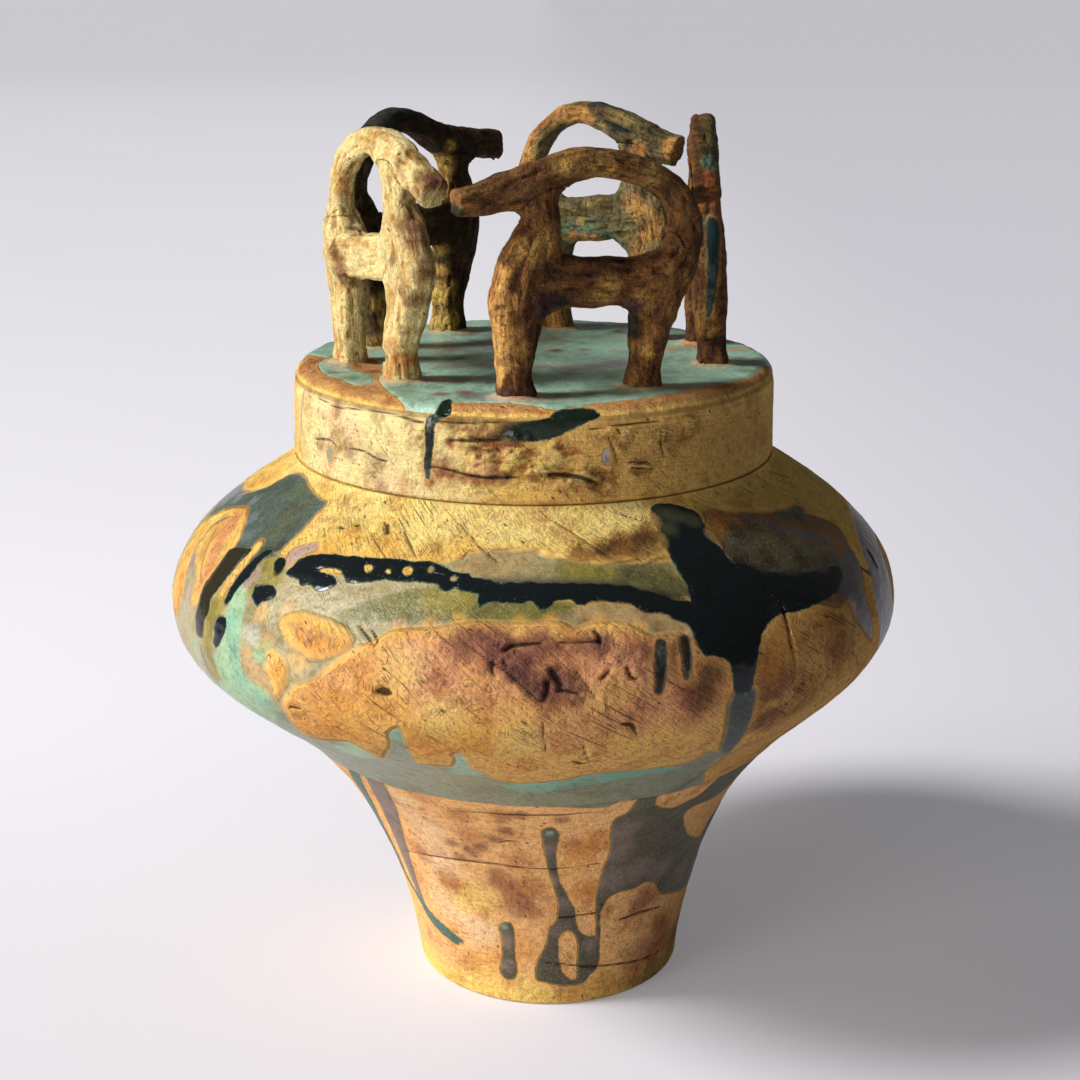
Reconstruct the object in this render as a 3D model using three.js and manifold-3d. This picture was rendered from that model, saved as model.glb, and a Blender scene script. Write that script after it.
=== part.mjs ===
// Lidded stoneware urn, built by hand from slabs and coils.
// A wide low belly stands on a narrow flared foot. A cap lid drops over a neck ring and
// rests on the shoulder, and five long-horned goats walk round on its flat top.
// Millimetres, +Z up. X = Y = 0 is the axis of the belly and the lid, Z = 0 the ground.

import * as THREE from "three";
import { mergeVertices } from "three/addons/utils/BufferGeometryUtils.js";
import Module from "manifold-3d";

const wasm = await Module();
wasm.setup();

// Vessel
const BASE_RADIUS = 45.8;
const BASE_THICKNESS = 10;
const BASE_EDGE = 1.5;
const FOOT_HEIGHT = 90;
const FOOT_TOP_RADIUS = 82.3;
const BELLY_RADIUS = 122.3;
const BELLY_HEIGHT = 138;
const SHOULDER_HEIGHT = 185.8;
const WALL = 8;
const LEDGE_THICKNESS = 8;

// How far each curve of the outline holds its direction before it bends away
const FOOT_RISE = 48;
const FOOT_FLARE_SLOPE = 0.9;
const FOOT_FLARE_RISE = 14;
const BOWL_SPRING_RISE = 20.7;
const BOWL_BELLY_DROP = 20.4;
const SHOULDER_BELLY_RISE = 27.5;
const SHOULDER_ROLL = 5.8;

// The foot was thrown together a little off the belly's axis, towards +X
const LEAN_AT_BASE = 5.2;
const LEAN_AT_FOOT_TOP = 3.2;
const LEAN_FADE_HEIGHT = 30;

// Neck ring and cap lid
const COLLAR_HEIGHT = 14;
const COLLAR_WALL = 8;
const COLLAR_LIP = 2;
const LID_RADIUS = 80;
const LID_TAPER = 0.8;
const LID_HEIGHT = 29.3;
const LID_WALL = 8;
const LID_TOP_THICKNESS = 8;
const LID_TOP_ROUND = 5;
const LID_FOOT_ROUND = 1.5;
const LID_SEAT_GAP = 0.3;
const LID_SIDE_CLEARANCE = 1.5;

// Figures, and the film of slip that joins head strip and body
const SLIP_GAP = 0.3;
const LEAN_REFERENCE_HEIGHT = 70;

// Facets
const TURNS = 60;
const BAR_SIDES = 10;

// Where things stand
const lidSeatHeight = SHOULDER_HEIGHT + LID_SEAT_GAP;
const lidTopHeight = lidSeatHeight + LID_HEIGHT;
const lidJointHeight = lidTopHeight - LID_TOP_THICKNESS;
const lidTopRadius = LID_RADIUS - LID_TAPER;
const collarRadius = LID_RADIUS - LID_WALL - LID_SIDE_CLEARANCE;
const mouthRadius = collarRadius - COLLAR_WALL;

// Materials: bare clay, glazed clay and the rubbed dark clay of the figures

function clay(name, color, roughness) {
  const material = new THREE.MeshStandardMaterial({ color, roughness, metalness: 0 });
  material.name = name;
  return material;
}

const bareClay = clay("bare_clay", 0xc9a35c, 0.85);
const footClay = clay("foot_clay", 0xb98a5a, 0.8);
const glazedClay = clay("glazed_clay", 0x5c6b4a, 0.3);
const lidGlaze = clay("lid_glaze", 0x6f9484, 0.4);
const figureClay = {
  brown: clay("brown_clay", 0x6b4a26, 0.75),
  cream: clay("cream_clay", 0xd9bd72, 0.8),
  green: clay("green_clay", 0x4c5236, 0.55),
};

// Outline of the vessel, as [radius, height] curves from the ground to the lid's seat

const point = (radius, height) => new THREE.Vector2(radius, height);

const footCurve = new THREE.CubicBezierCurve(
  point(BASE_RADIUS, 0),
  point(BASE_RADIUS + 0.11 * FOOT_RISE, FOOT_RISE),
  point(FOOT_TOP_RADIUS - FOOT_FLARE_SLOPE * FOOT_FLARE_RISE, FOOT_HEIGHT - FOOT_FLARE_RISE),
  point(FOOT_TOP_RADIUS, FOOT_HEIGHT),
);

const lowerBowlCurve = new THREE.CubicBezierCurve(
  point(FOOT_TOP_RADIUS, FOOT_HEIGHT),
  point(FOOT_TOP_RADIUS + FOOT_FLARE_SLOPE * BOWL_SPRING_RISE, FOOT_HEIGHT + BOWL_SPRING_RISE),
  point(BELLY_RADIUS, BELLY_HEIGHT - BOWL_BELLY_DROP),
  point(BELLY_RADIUS, BELLY_HEIGHT),
);

const upperBowlCurve = new THREE.CubicBezierCurve(
  point(BELLY_RADIUS, BELLY_HEIGHT),
  point(BELLY_RADIUS, BELLY_HEIGHT + SHOULDER_BELLY_RISE),
  point(LID_RADIUS, SHOULDER_HEIGHT - SHOULDER_ROLL),
  point(LID_RADIUS, SHOULDER_HEIGHT),
);

// The inside of the wall: every point of the outline moved inwards, square to the clay
const OUTLINE_SAMPLES = 60;
const insideLine = [footCurve, lowerBowlCurve, upperBowlCurve].flatMap((curve) =>
  Array.from({ length: OUTLINE_SAMPLES + 1 }, (_, i) => {
    const t = i / OUTLINE_SAMPLES;
    const tangent = curve.getTangent(t);
    const inward = new THREE.Vector2(-tangent.y, tangent.x).multiplyScalar(WALL);
    return curve.getPoint(t).add(inward);
  }),
);

function insideRadius(height) {
  for (let i = 1; i < insideLine.length; i += 1) {
    const low = insideLine[i - 1];
    const high = insideLine[i];
    if (low.y <= height && height <= high.y) {
      const share = (height - low.y) / Math.max(high.y - low.y, 1e-9);
      return low.x + share * (high.x - low.x);
    }
  }
  return insideLine.at(-1).x;
}

function leanAt(height) {
  if (height <= FOOT_HEIGHT) {
    return THREE.MathUtils.lerp(LEAN_AT_BASE, LEAN_AT_FOOT_TOP, height / FOOT_HEIGHT);
  }
  const fade = THREE.MathUtils.smoothstep(height, FOOT_HEIGHT, FOOT_HEIGHT + LEAN_FADE_HEIGHT);
  return LEAN_AT_FOOT_TOP * (1 - fade);
}

// A quarter round between two directions, as profile points
function roundedCorner(centreRadius, centreHeight, radius, fromAngle, toAngle, steps) {
  return Array.from({ length: steps + 1 }, (_, i) => {
    const angle = THREE.MathUtils.degToRad(fromAngle + ((toAngle - fromAngle) * i) / steps);
    return point(centreRadius + radius * Math.cos(angle), centreHeight + radius * Math.sin(angle));
  });
}

// Turns a profile that runs outside up and inside down into a closed solid of revolution
function turned(profile) {
  const closed = profile[0].x === 0 ? profile : [...profile, profile[0].clone()];
  const geometry = new THREE.LatheGeometry(closed, TURNS).rotateX(Math.PI / 2);
  geometry.deleteAttribute("normal");
  geometry.deleteAttribute("uv");
  const welded = mergeVertices(geometry, 1e-4);
  const position = welded.attributes.position;
  for (let i = 0; i < position.count; i += 1) {
    position.setX(i, position.getX(i) + leanAt(position.getZ(i)));
  }
  welded.computeVertexNormals();
  return welded;
}

function named(name, geometry, material) {
  const mesh = new THREE.Mesh(geometry, material);
  mesh.name = name;
  return mesh;
}

// Vessel: floor slab, foot wall, two halves of the belly and the neck ring

function baseSlab() {
  return turned([
    point(0, 0),
    point(BASE_RADIUS - BASE_EDGE, 0),
    point(footRadiusAt(BASE_EDGE), BASE_EDGE),
    point(footRadiusAt(BASE_THICKNESS), BASE_THICKNESS),
    point(0, BASE_THICKNESS),
  ]);
}

function footRadiusAt(height) {
  let low = 0;
  let high = 1;
  for (let i = 0; i < 40; i += 1) {
    const middle = (low + high) / 2;
    if (footCurve.getPoint(middle).y < height) low = middle;
    else high = middle;
  }
  return footCurve.getPoint(low).x;
}

// Fewer facets do for the inside: every second height, and the last
function insideOf(outside) {
  const heights = outside.filter((_, i) => i % 2 === 0 || i === outside.length - 1).map((at) => at.y);
  return heights.reverse().map((height) => point(insideRadius(height), height));
}

// A stretch of wall with the outline outside and the wall's inside behind it
function wallRing(outside) {
  return turned([...outside, ...insideOf(outside)]);
}

function footWall() {
  const seat = point(footRadiusAt(BASE_THICKNESS), BASE_THICKNESS);
  const rest = footCurve.getPoints(7).filter((at) => at.y > BASE_THICKNESS + 1);
  return wallRing([seat, ...rest]);
}

function lowerBowl() {
  return wallRing(lowerBowlCurve.getPoints(8));
}

// The shoulder ends in a flat ledge that carries the lid outside and the neck ring inside
function upperBowl() {
  const outside = upperBowlCurve.getPoints(10);
  const ledgeUnderside = SHOULDER_HEIGHT - LEDGE_THICKNESS;
  const inside = insideOf(outside.filter((at) => at.y < ledgeUnderside - 1));
  const ledge = [
    point(mouthRadius, SHOULDER_HEIGHT),
    point(mouthRadius, ledgeUnderside),
    point(insideRadius(ledgeUnderside), ledgeUnderside),
  ];
  return turned([...outside, ...ledge, ...inside]);
}

function rimCollar() {
  const top = SHOULDER_HEIGHT + COLLAR_HEIGHT;
  return turned([
    point(collarRadius, SHOULDER_HEIGHT),
    point(collarRadius, top - COLLAR_LIP),
    point(collarRadius - COLLAR_LIP, top),
    point(mouthRadius + COLLAR_LIP, top),
    point(mouthRadius, top - COLLAR_LIP),
    point(mouthRadius, SHOULDER_HEIGHT),
  ]);
}

// Cap lid: a side band and a top slab with a soft upper edge

function lidRadiusAt(height) {
  return LID_RADIUS - (LID_TAPER * (height - lidSeatHeight)) / LID_HEIGHT;
}

function lidBand() {
  const inner = LID_RADIUS - LID_WALL;
  return turned([
    point(inner, lidSeatHeight),
    point(LID_RADIUS - LID_FOOT_ROUND, lidSeatHeight),
    point(lidRadiusAt(lidSeatHeight + LID_FOOT_ROUND), lidSeatHeight + LID_FOOT_ROUND),
    point(lidRadiusAt(lidJointHeight), lidJointHeight),
    point(inner, lidJointHeight),
  ]);
}

function lidTop() {
  return turned([
    point(0, lidJointHeight),
    point(lidRadiusAt(lidJointHeight), lidJointHeight),
    ...roundedCorner(lidTopRadius - LID_TOP_ROUND, lidTopHeight - LID_TOP_ROUND, LID_TOP_ROUND, 0, 90, 4),
    point(0, lidTopHeight),
  ]);
}

// Figures. Each is drawn in its own upright plane: `along` runs from the hind foot towards
// the front foot, `up` rises from the lid. A bar is a rolled length of clay that follows
// stations [along, up, half depth in the plane, half width across it].

// A soft-cornered section is squarer than an ellipse
const SECTION_SQUARENESS = 0.75;

function softened(value) {
  return Math.sign(value) * Math.abs(value) ** SECTION_SQUARENESS;
}

// The figure's plane leans and twists as it rises; feet stay where they are
function acrossShift(figure, along, up) {
  return (up / LEAN_REFERENCE_HEIGHT) * (figure.lean + figure.twist * along);
}

function bar(figure, stations, steps, grow = 0) {
  const line = new THREE.CatmullRomCurve3(stations.map(([along, up, depth]) => new THREE.Vector3(along, up, depth)));
  const widths = new THREE.CatmullRomCurve3(stations.map(([, , , width]) => new THREE.Vector3(width, 0, 0)));
  const points = [];
  const addPoint = (along, up, across) => {
    const shift = acrossShift(figure, along, up);
    points.push(along, across + shift, up);
  };
  const standsOnLid = stations[0][1] === 0;
  for (let ring = 0; ring <= steps; ring += 1) {
    const t = ring / steps;
    const centre = line.getPoint(t);
    const ahead = line.getPoint(Math.min(t + 0.01, 1));
    const behind = line.getPoint(Math.max(t - 0.01, 0));
    const direction = new THREE.Vector2(ahead.x - behind.x, ahead.y - behind.y).normalize();
    if (ring === 0 && standsOnLid) direction.set(0, 1);
    const reach = ring === 0 && !standsOnLid ? -grow : ring === steps ? grow : 0;
    const depth = centre.z + grow;
    const width = widths.getPoint(t).x + grow;
    for (let side = 0; side < BAR_SIDES; side += 1) {
      const angle = ((side + 0.5) / BAR_SIDES) * 2 * Math.PI;
      const out = depth * softened(Math.cos(angle));
      const along = centre.x + direction.x * reach + direction.y * out;
      const up = centre.y + direction.y * reach - direction.x * out;
      addPoint(along, ring === 0 && standsOnLid ? 0 : up, width * softened(Math.sin(angle)));
    }
  }
  return closedBar(points, steps);
}

// Joins the rings of a bar side by side and closes its two ends with flat fans
function closedBar(points, steps) {
  const index = [];
  const at = (ring, side) => ring * BAR_SIDES + (side % BAR_SIDES);
  for (let ring = 0; ring < steps; ring += 1) {
    for (let side = 0; side < BAR_SIDES; side += 1) {
      index.push(at(ring, side), at(ring, side + 1), at(ring + 1, side));
      index.push(at(ring, side + 1), at(ring + 1, side + 1), at(ring + 1, side));
    }
  }
  for (let side = 1; side < BAR_SIDES - 1; side += 1) {
    index.push(at(0, 0), at(0, side + 1), at(0, side));
    index.push(at(steps, 0), at(steps, side), at(steps, side + 1));
  }
  const geometry = new THREE.BufferGeometry();
  geometry.setAttribute("position", new THREE.Float32BufferAttribute(points, 3));
  geometry.setIndex(index);
  return geometry;
}

function solidOf(geometry) {
  return new wasm.Manifold(
    new wasm.Mesh({
      numProp: 3,
      vertProperties: Float32Array.from(geometry.attributes.position.array),
      triVerts: Uint32Array.from(geometry.index.array),
    }),
  );
}

function geometryOf(solid) {
  const mesh = solid.getMesh();
  const geometry = new THREE.BufferGeometry();
  geometry.setAttribute("position", new THREE.Float32BufferAttribute(mesh.vertProperties, 3));
  geometry.setIndex(Array.from(mesh.triVerts));
  geometry.computeVertexNormals();
  return geometry;
}

// Hind leg and rump, up to where the horn comes down
function hindLimb(figure) {
  const [hornEndAlong, hornEndUp] = figure.horn.at(-1);
  const middle = (figure.belly + figure.back) / 2;
  return [
    [0, 0, 5.8, 5.6],
    [0.07 * hornEndAlong, 0.33 * figure.belly, 5.3, 5],
    [0.15 * hornEndAlong, 0.75 * figure.belly, 6.6, 5.2],
    [0.4 * hornEndAlong, middle - 2, 8, 5.6],
    [0.8 * hornEndAlong, figure.back - 2, 6.6, 5.2],
    [hornEndAlong, hornEndUp + 3, 4.2, 4.2],
  ];
}

function backBar(figure) {
  const middle = (figure.belly + figure.back) / 2;
  const depth = (figure.back - figure.belly) / 2;
  const start = 0.4 * figure.horn.at(-1)[0];
  const reach = figure.stride + 1 - start;
  return [
    [start, middle, depth - 1, 5],
    [start + 0.35 * reach, middle, depth, 5.6],
    [start + 0.7 * reach, middle + 1, depth + 0.7, 5.8],
    [start + reach, middle + 3, depth + 1, 5],
  ];
}

// Front leg, chest and neck, up into the head strip
function foreLimb(figure) {
  const { stride, belly, chest, neck } = figure;
  return [
    [stride, 0, 6.4, 5.8],
    [stride + 0.4, 0.4 * belly, 5.8, 5],
    [(stride + chest[0] - 8.5) / 2, 0.8 * belly, 7.6, 5.4],
    [chest[0] - 9.2, chest[1], 9.2, 5.8],
    [(chest[0] - 9 + neck[0]) / 2 + 0.5, (chest[1] + neck[1]) / 2, 8.6, 5.4],
    [neck[0], neck[1], 6.4, 4.6],
    [neck[0] + 0.5, neck[1] + 6, 7, 4.3],
    [neck[0] + 1, neck[1] + figure.neckReach, 7, 4],
  ];
}

// Head and horn in one strip: thick at the jaw, blunt at the snout, even over the back
function hornStations(figure) {
  const headDepths = [figure.snoutDepth, 5, 5.4, 5];
  return figure.horn.map(([along, up], i) => [along, up, headDepths[i] ?? figure.hornDepth, figure.hornWidth]);
}

const FORE_STEPS = 12;
const HIND_STEPS = 8;
const BACK_STEPS = 4;
const HORN_STEPS = 20;

function figureSolids(figure) {
  const horn = solidOf(bar(figure, hornStations(figure), HORN_STEPS));
  const hornSeat = solidOf(bar(figure, hornStations(figure), HORN_STEPS, SLIP_GAP));
  const body = solidOf(bar(figure, hindLimb(figure), HIND_STEPS))
    .add(solidOf(bar(figure, backBar(figure), BACK_STEPS)))
    .add(solidOf(bar(figure, foreLimb(figure), FORE_STEPS)))
    .subtract(hornSeat);
  return { body: geometryOf(body), horn: geometryOf(horn) };
}

// Each figure stands with its hind foot at a bearing round the lid, in from the lid's edge
function standFigure(figure) {
  const { body, horn } = figureSolids(figure);
  const bearing = THREE.MathUtils.degToRad(figure.bearing);
  const radius = lidTopRadius - figure.inset;
  const group = new THREE.Group();
  group.position.set(radius * Math.cos(bearing), radius * Math.sin(bearing), lidTopHeight);
  group.rotation.z = THREE.MathUtils.degToRad(figure.heading);
  group.add(named(`${figure.name}_body`, body, figureClay[figure.colour]));
  group.add(named(`${figure.name}_horn`, horn, figureClay[figure.colour]));
  return group;
}

const figures = [
  {
    name: "goat_1",
    colour: "brown",
    bearing: -57.2,
    inset: 18.1,
    heading: -160.8,
    stride: 40.4,
    belly: 26,
    back: 41,
    chest: [49, 31],
    neck: [32.6, 52],
    neckReach: 12,
    lean: 0,
    twist: 0,
    snoutDepth: 3.6,
    hornDepth: 4.7,
    hornWidth: 4.8,
    horn: [[59.3, 58.8], [50, 59.8], [42, 62], [34, 65.4], [19, 69.2], [4, 67], [-8, 61], [-14, 51.5], [-14, 43.5]],
  },
  {
    name: "goat_2",
    colour: "cream",
    bearing: -171.1,
    inset: 18.2,
    heading: -58.4,
    stride: 36.6,
    belly: 29.5,
    back: 43.5,
    chest: [53, 36],
    neck: [37, 54],
    neckReach: 14,
    lean: 0,
    twist: 0,
    snoutDepth: 4.6,
    hornDepth: 4.5,
    hornWidth: 3.9,
    horn: [[60, 60], [51, 65], [41, 69], [31, 72], [20, 73], [8, 69.5], [-0.5, 62], [-3.5, 52], [-3.5, 44.5]],
  },
  {
    name: "goat_3",
    colour: "green",
    bearing: 162,
    inset: 22.4,
    heading: 53.4,
    stride: 39,
    belly: 31,
    back: 45.6,
    chest: [54, 36],
    neck: [42.5, 56],
    neckReach: 11,
    lean: 0,
    twist: 0,
    snoutDepth: 5.4,
    hornDepth: 4.6,
    hornWidth: 4.6,
    horn: [[65, 64.5], [56, 65.5], [46, 66.2], [33, 69.2], [18, 75.2], [5, 73.5], [-5, 65.5], [-9.5, 56], [-8.5, 47]],
  },
  {
    name: "goat_4",
    colour: "green",
    bearing: 80.8,
    inset: 25.4,
    heading: -30,
    stride: 37,
    belly: 33.3,
    back: 48.6,
    chest: [46, 38],
    neck: [32, 60],
    neckReach: 9,
    lean: 0,
    twist: 0,
    snoutDepth: 5.6,
    hornDepth: 4,
    hornWidth: 4.4,
    horn: [[46.8, 65], [41, 66.8], [34, 69.4], [25, 73.4], [11, 77.2], [0.5, 74], [-8, 65.3], [-12, 55], [-11, 47]],
  },
  {
    name: "goat_5",
    colour: "brown",
    bearing: 22.8,
    inset: 17.2,
    heading: -88,
    stride: 37.2,
    belly: 28,
    back: 43,
    chest: [49, 34],
    neck: [35, 56],
    neckReach: 13,
    lean: -0.5,
    twist: -0.115,
    snoutDepth: 4.4,
    hornDepth: 4.7,
    hornWidth: 4.3,
    horn: [[58.5, 57], [52, 63.5], [44, 69], [34, 73.5], [20, 75.2], [6, 71.5], [-5, 63.5], [-11, 53.5], [-9.5, 45]],
  },
];

// The whole urn

const vessel = new THREE.Group();
vessel.add(named("base_slab", baseSlab(), footClay));
vessel.add(named("foot_wall", footWall(), footClay));
vessel.add(named("lower_bowl", lowerBowl(), glazedClay));
vessel.add(named("upper_bowl", upperBowl(), glazedClay));
vessel.add(named("rim_collar", rimCollar(), bareClay));

const lid = new THREE.Group();
lid.add(named("lid_band", lidBand(), bareClay));
lid.add(named("lid_top", lidTop(), lidGlaze));
for (const figure of figures) lid.add(standFigure(figure));

const urn = new THREE.Group();
urn.add(vessel, lid);

export default urn;
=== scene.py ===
"""Looks of the lidded stoneware urn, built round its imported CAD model.

Lengths are in millimetres until a mesh is made. Angles round the urn are in degrees from
the front, towards +X. A pixel is a place in the 1080 by 1080 photograph.
"""

import math

import bpy
import numpy as np
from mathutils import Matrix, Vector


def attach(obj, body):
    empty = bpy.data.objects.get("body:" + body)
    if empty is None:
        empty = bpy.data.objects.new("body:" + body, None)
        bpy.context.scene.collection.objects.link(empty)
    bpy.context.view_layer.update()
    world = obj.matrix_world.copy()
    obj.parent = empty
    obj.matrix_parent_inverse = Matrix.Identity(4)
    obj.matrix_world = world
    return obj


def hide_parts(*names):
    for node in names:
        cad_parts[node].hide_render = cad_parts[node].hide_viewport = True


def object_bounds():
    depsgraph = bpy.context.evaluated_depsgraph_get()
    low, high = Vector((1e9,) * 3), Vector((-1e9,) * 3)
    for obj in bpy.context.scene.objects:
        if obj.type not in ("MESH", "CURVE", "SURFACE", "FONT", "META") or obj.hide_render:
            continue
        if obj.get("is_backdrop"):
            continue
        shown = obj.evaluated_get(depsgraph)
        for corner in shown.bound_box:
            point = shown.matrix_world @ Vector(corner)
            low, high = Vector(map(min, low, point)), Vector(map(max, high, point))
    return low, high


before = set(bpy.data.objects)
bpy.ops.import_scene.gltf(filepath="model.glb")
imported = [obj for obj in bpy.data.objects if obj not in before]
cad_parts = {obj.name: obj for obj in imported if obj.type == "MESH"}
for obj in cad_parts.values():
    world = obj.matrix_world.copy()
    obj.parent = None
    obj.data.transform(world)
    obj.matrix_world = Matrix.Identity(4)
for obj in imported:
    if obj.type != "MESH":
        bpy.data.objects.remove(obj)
cad_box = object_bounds()

MM = 0.001

# The photograph's camera
PHOTO_MIDDLE = 540
FOCAL_PIXELS = 1900
SENSOR_MM = 36
CAMERA_PLACE = np.array([2.1, -624.9, 334.2])
CAMERA_PITCH = math.radians(16.24)
PIXEL_MM = 0.31

# The CAD model's sizes
BASE_RADIUS = 45.8
BASE_EDGE = 1.5
FLOOR_THICKNESS = 10
FOOT_HEIGHT = 90
FOOT_TOP_RADIUS = 82.3
BELLY_RADIUS = 122.3
BELLY_HEIGHT = 138
SHOULDER_HEIGHT = 185.8
WALL = 8
LEAN_AT_BASE = 5.2
LEAN_AT_FOOT_TOP = 3.2
LEAN_FADE_HEIGHT = 30
MOUTH_RADIUS = 62.5
COLLAR_RADIUS = 70.5
COLLAR_TOP = 199.8
LID_RADIUS = 80
LID_TOP_RADIUS = 79.2
LID_SEAT = 186.1
LID_JOINT = 207.4
LID_TOP = 215.4
LID_INSIDE = 72
LID_ROUND = 5

# Each curve of the outline as four [radius, height] handles
FOOT_CURVE = [[BASE_RADIUS, 0], [51.08, 48], [69.7, 76], [FOOT_TOP_RADIUS, FOOT_HEIGHT]]
LOWER_CURVE = [
    [FOOT_TOP_RADIUS, FOOT_HEIGHT], [100.93, 110.7], [BELLY_RADIUS, 117.6], [BELLY_RADIUS, BELLY_HEIGHT],
]
UPPER_CURVE = [
    [BELLY_RADIUS, BELLY_HEIGHT], [BELLY_RADIUS, 165.5], [LID_RADIUS, 180], [LID_RADIUS, SHOULDER_HEIGHT],
]
CURVE_POINTS = 300
LID_TAPER = (LID_RADIUS - LID_TOP_RADIUS) / (LID_TOP - LID_SEAT)

# Where each figure stands on the lid: hind foot's bearing and inset from the edge, and heading
FIGURES = {
    "goat_1": (-57.2, 18.1, -160.8),
    "goat_2": (-171.1, 18.2, -58.4),
    "goat_3": (162, 22.4, 53.4),
    "goat_4": (80.8, 25.4, -30),
    "goat_5": (22.8, 17.2, -88),
}
EDGE_ON = "goat_5"
PALE_FIGURES = ("goat_2",)

# The form of each figure: rolled bars of clay that run into each other. Places are (along, up)
# from the hind foot, in mm. reach is the length of the neck over its foot, lean and twist say
# how far the figure tips aside at LEAN_HEIGHT, and snout, depth and width are the strip's.
FORMS = {
    "goat_1": dict(
        stride=40.4, belly=26, back=41, chest=(49, 31), neck=(32.6, 52), reach=12, lean=0, twist=0,
        snout=3.9, depth=4.5, width=4.8,
        horn=[
            (59.3, 58.8), (50, 59.8), (42, 62), (34, 65.4), (19, 69.2), (4, 67), (-8, 61), (-14, 51.5),
            (-14, 43.5),
        ],
    ),
    "goat_2": dict(
        stride=36.6, belly=29.5, back=43.5, chest=(53, 36), neck=(37, 54), reach=14, lean=0, twist=0,
        snout=4.8, depth=4.3, width=3.9,
        horn=[
            (60, 60), (51, 65), (41, 69), (31, 72), (20, 73), (8, 69.5), (-0.5, 62), (-3.5, 52),
            (-3.5, 44.5),
        ],
    ),
    "goat_3": dict(
        stride=39, belly=31, back=45.6, chest=(54, 36), neck=(42.5, 56), reach=11, lean=0, twist=0,
        snout=5.8, depth=4.4, width=4.6,
        horn=[
            (65, 64.5), (56, 65.5), (46, 66.2), (33, 69.2), (18, 75.2), (5, 73.5), (-5, 65.5),
            (-9.5, 56), (-8.5, 47),
        ],
    ),
    "goat_4": dict(
        stride=37, belly=33.3, back=48.6, chest=(46, 38), neck=(32, 60), reach=9, lean=0, twist=0,
        snout=5.6, depth=3.9, width=4.4,
        horn=[
            (46.8, 65), (41, 66.8), (34, 69.4), (25, 73.4), (11, 77.2), (0.5, 74), (-8, 65.3),
            (-12, 55), (-11, 47),
        ],
    ),
    "goat_5": dict(
        stride=37.2, belly=28, back=43, chest=(49, 34), neck=(35, 56), reach=13, lean=-0.5,
        twist=-0.115, snout=4.6, depth=4.5, width=4.3,
        horn=[
            (58.5, 57), (52, 63.5), (44, 69), (34, 73.5), (20, 75.2), (6, 71.5), (-5, 63.5),
            (-11, 53.5), (-9.5, 45),
        ],
    ),
}
LEAN_HEIGHT = 70
GRID = 0.55
FLAT_SIDES = 3.2

# How finely each wall is divided, in columns round it and mm between its rows
BELLY_COLUMNS, BELLY_SPACING = 1000, 0.74
FOOT_COLUMNS, FOOT_SPACING = 640, 0.8
LID_COLUMNS, LID_SPACING = 760, 0.75
COLLAR_COLUMNS = 360

# Where the random patterns of each piece start
BELLY_SEED = 11
FOOT_SEED = 21
BAND_SEED = 31
LID_TOP_SEED = 41
COLLAR_SEED = 71
VESSEL_WALL_SEED = 40
LID_WALL_SEED = 80
FIGURE_TINT_SEED = 95
FIGURE_SEED, FIGURE_SEED_STEP = 300, 10

# Small mathematics

def blend_step(low, high, value):
    """0 below low, 1 above high, and a smooth rise between."""
    share = np.clip((value - low) / (high - low), 0, 1)
    return share * share * (3 - 2 * share)


def noise(points, size, seed):
    """Smooth random numbers from about -1 to 1, with features `size` mm across."""
    generator = np.random.default_rng(seed)
    slopes = generator.normal(size=(256, 3))
    slopes /= np.linalg.norm(slopes, axis=1, keepdims=True)
    order = generator.permutation(256)
    scaled = points / np.asarray(size, float)
    cell = np.floor(scaled).astype(np.int64)
    within = scaled - cell
    fade = within**3 * (within * (within * 6 - 15) + 10)
    total = np.zeros(len(points))
    for corner in np.ndindex(2, 2, 2):
        index = cell + corner
        first = order[index[:, 0] & 255]
        second = order[(first + index[:, 1]) & 255]
        picked = slopes[order[(second + index[:, 2]) & 255]]
        weight = np.prod(np.where(corner, fade, 1 - fade), axis=1)
        total += weight * np.einsum("ij,ij->i", picked, within - corner)
    return 1.6 * total


def layered_noise(points, size, octaves, seed):
    size = np.asarray(size, float)
    total = sum(noise(points, size / 2**k, seed + k) / 2**k for k in range(octaves))
    return total / sum(0.5**k for k in range(octaves))


def rolled(handles, count):
    """Points along a cubic curve with four handles."""
    t = np.linspace(0, 1, count)[:, None]
    a, b, c, d = np.array(handles, float)
    return (1 - t)**3 * a + 3 * (1 - t)**2 * t * b + 3 * (1 - t) * t**2 * c + t**3 * d


def lean_at(height):
    low = LEAN_AT_BASE + (LEAN_AT_FOOT_TOP - LEAN_AT_BASE) * np.clip(height / FOOT_HEIGHT, 0, 1)
    return low * (1 - blend_step(FOOT_HEIGHT, FOOT_HEIGHT + LEAN_FADE_HEIGHT, height))


def evenly(line, spacing):
    """The same line with its points `spacing` apart."""
    steps = np.hypot(*np.diff(line, axis=0).T)
    along = np.concatenate([[0], np.cumsum(steps)])
    count = max(2, int(round(along[-1] / spacing)) + 1)
    wanted = np.linspace(0, along[-1], count)
    return np.stack([np.interp(wanted, along, line[:, 0]), np.interp(wanted, along, line[:, 1])], axis=1)


def quarter_round(centre, radius, start, end, steps):
    angles = np.radians(np.linspace(start, end, steps + 1))
    return np.stack([centre[0] + radius * np.cos(angles), centre[1] + radius * np.sin(angles)], axis=1)


def blend(colours, shade, share):
    """Lays a shade over colours, by the share at each point."""
    share = share[:, None]
    return colours * (1 - share) + shade * share


# From pixels of the photograph to places on the urn

vessel_line = np.concatenate([
    rolled(curve, CURVE_POINTS)[number > 0:]
    for number, curve in enumerate((FOOT_CURVE, LOWER_CURVE, UPPER_CURVE))
])
vessel_along = np.concatenate([[0], np.cumsum(np.hypot(*np.diff(vessel_line, axis=0).T))])

# A radius that no line of sight meets, and the steps along a line of sight in mm
NOWHERE = -1e3
SIGHT_STEPS = np.arange(440, 780, 0.4)


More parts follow.
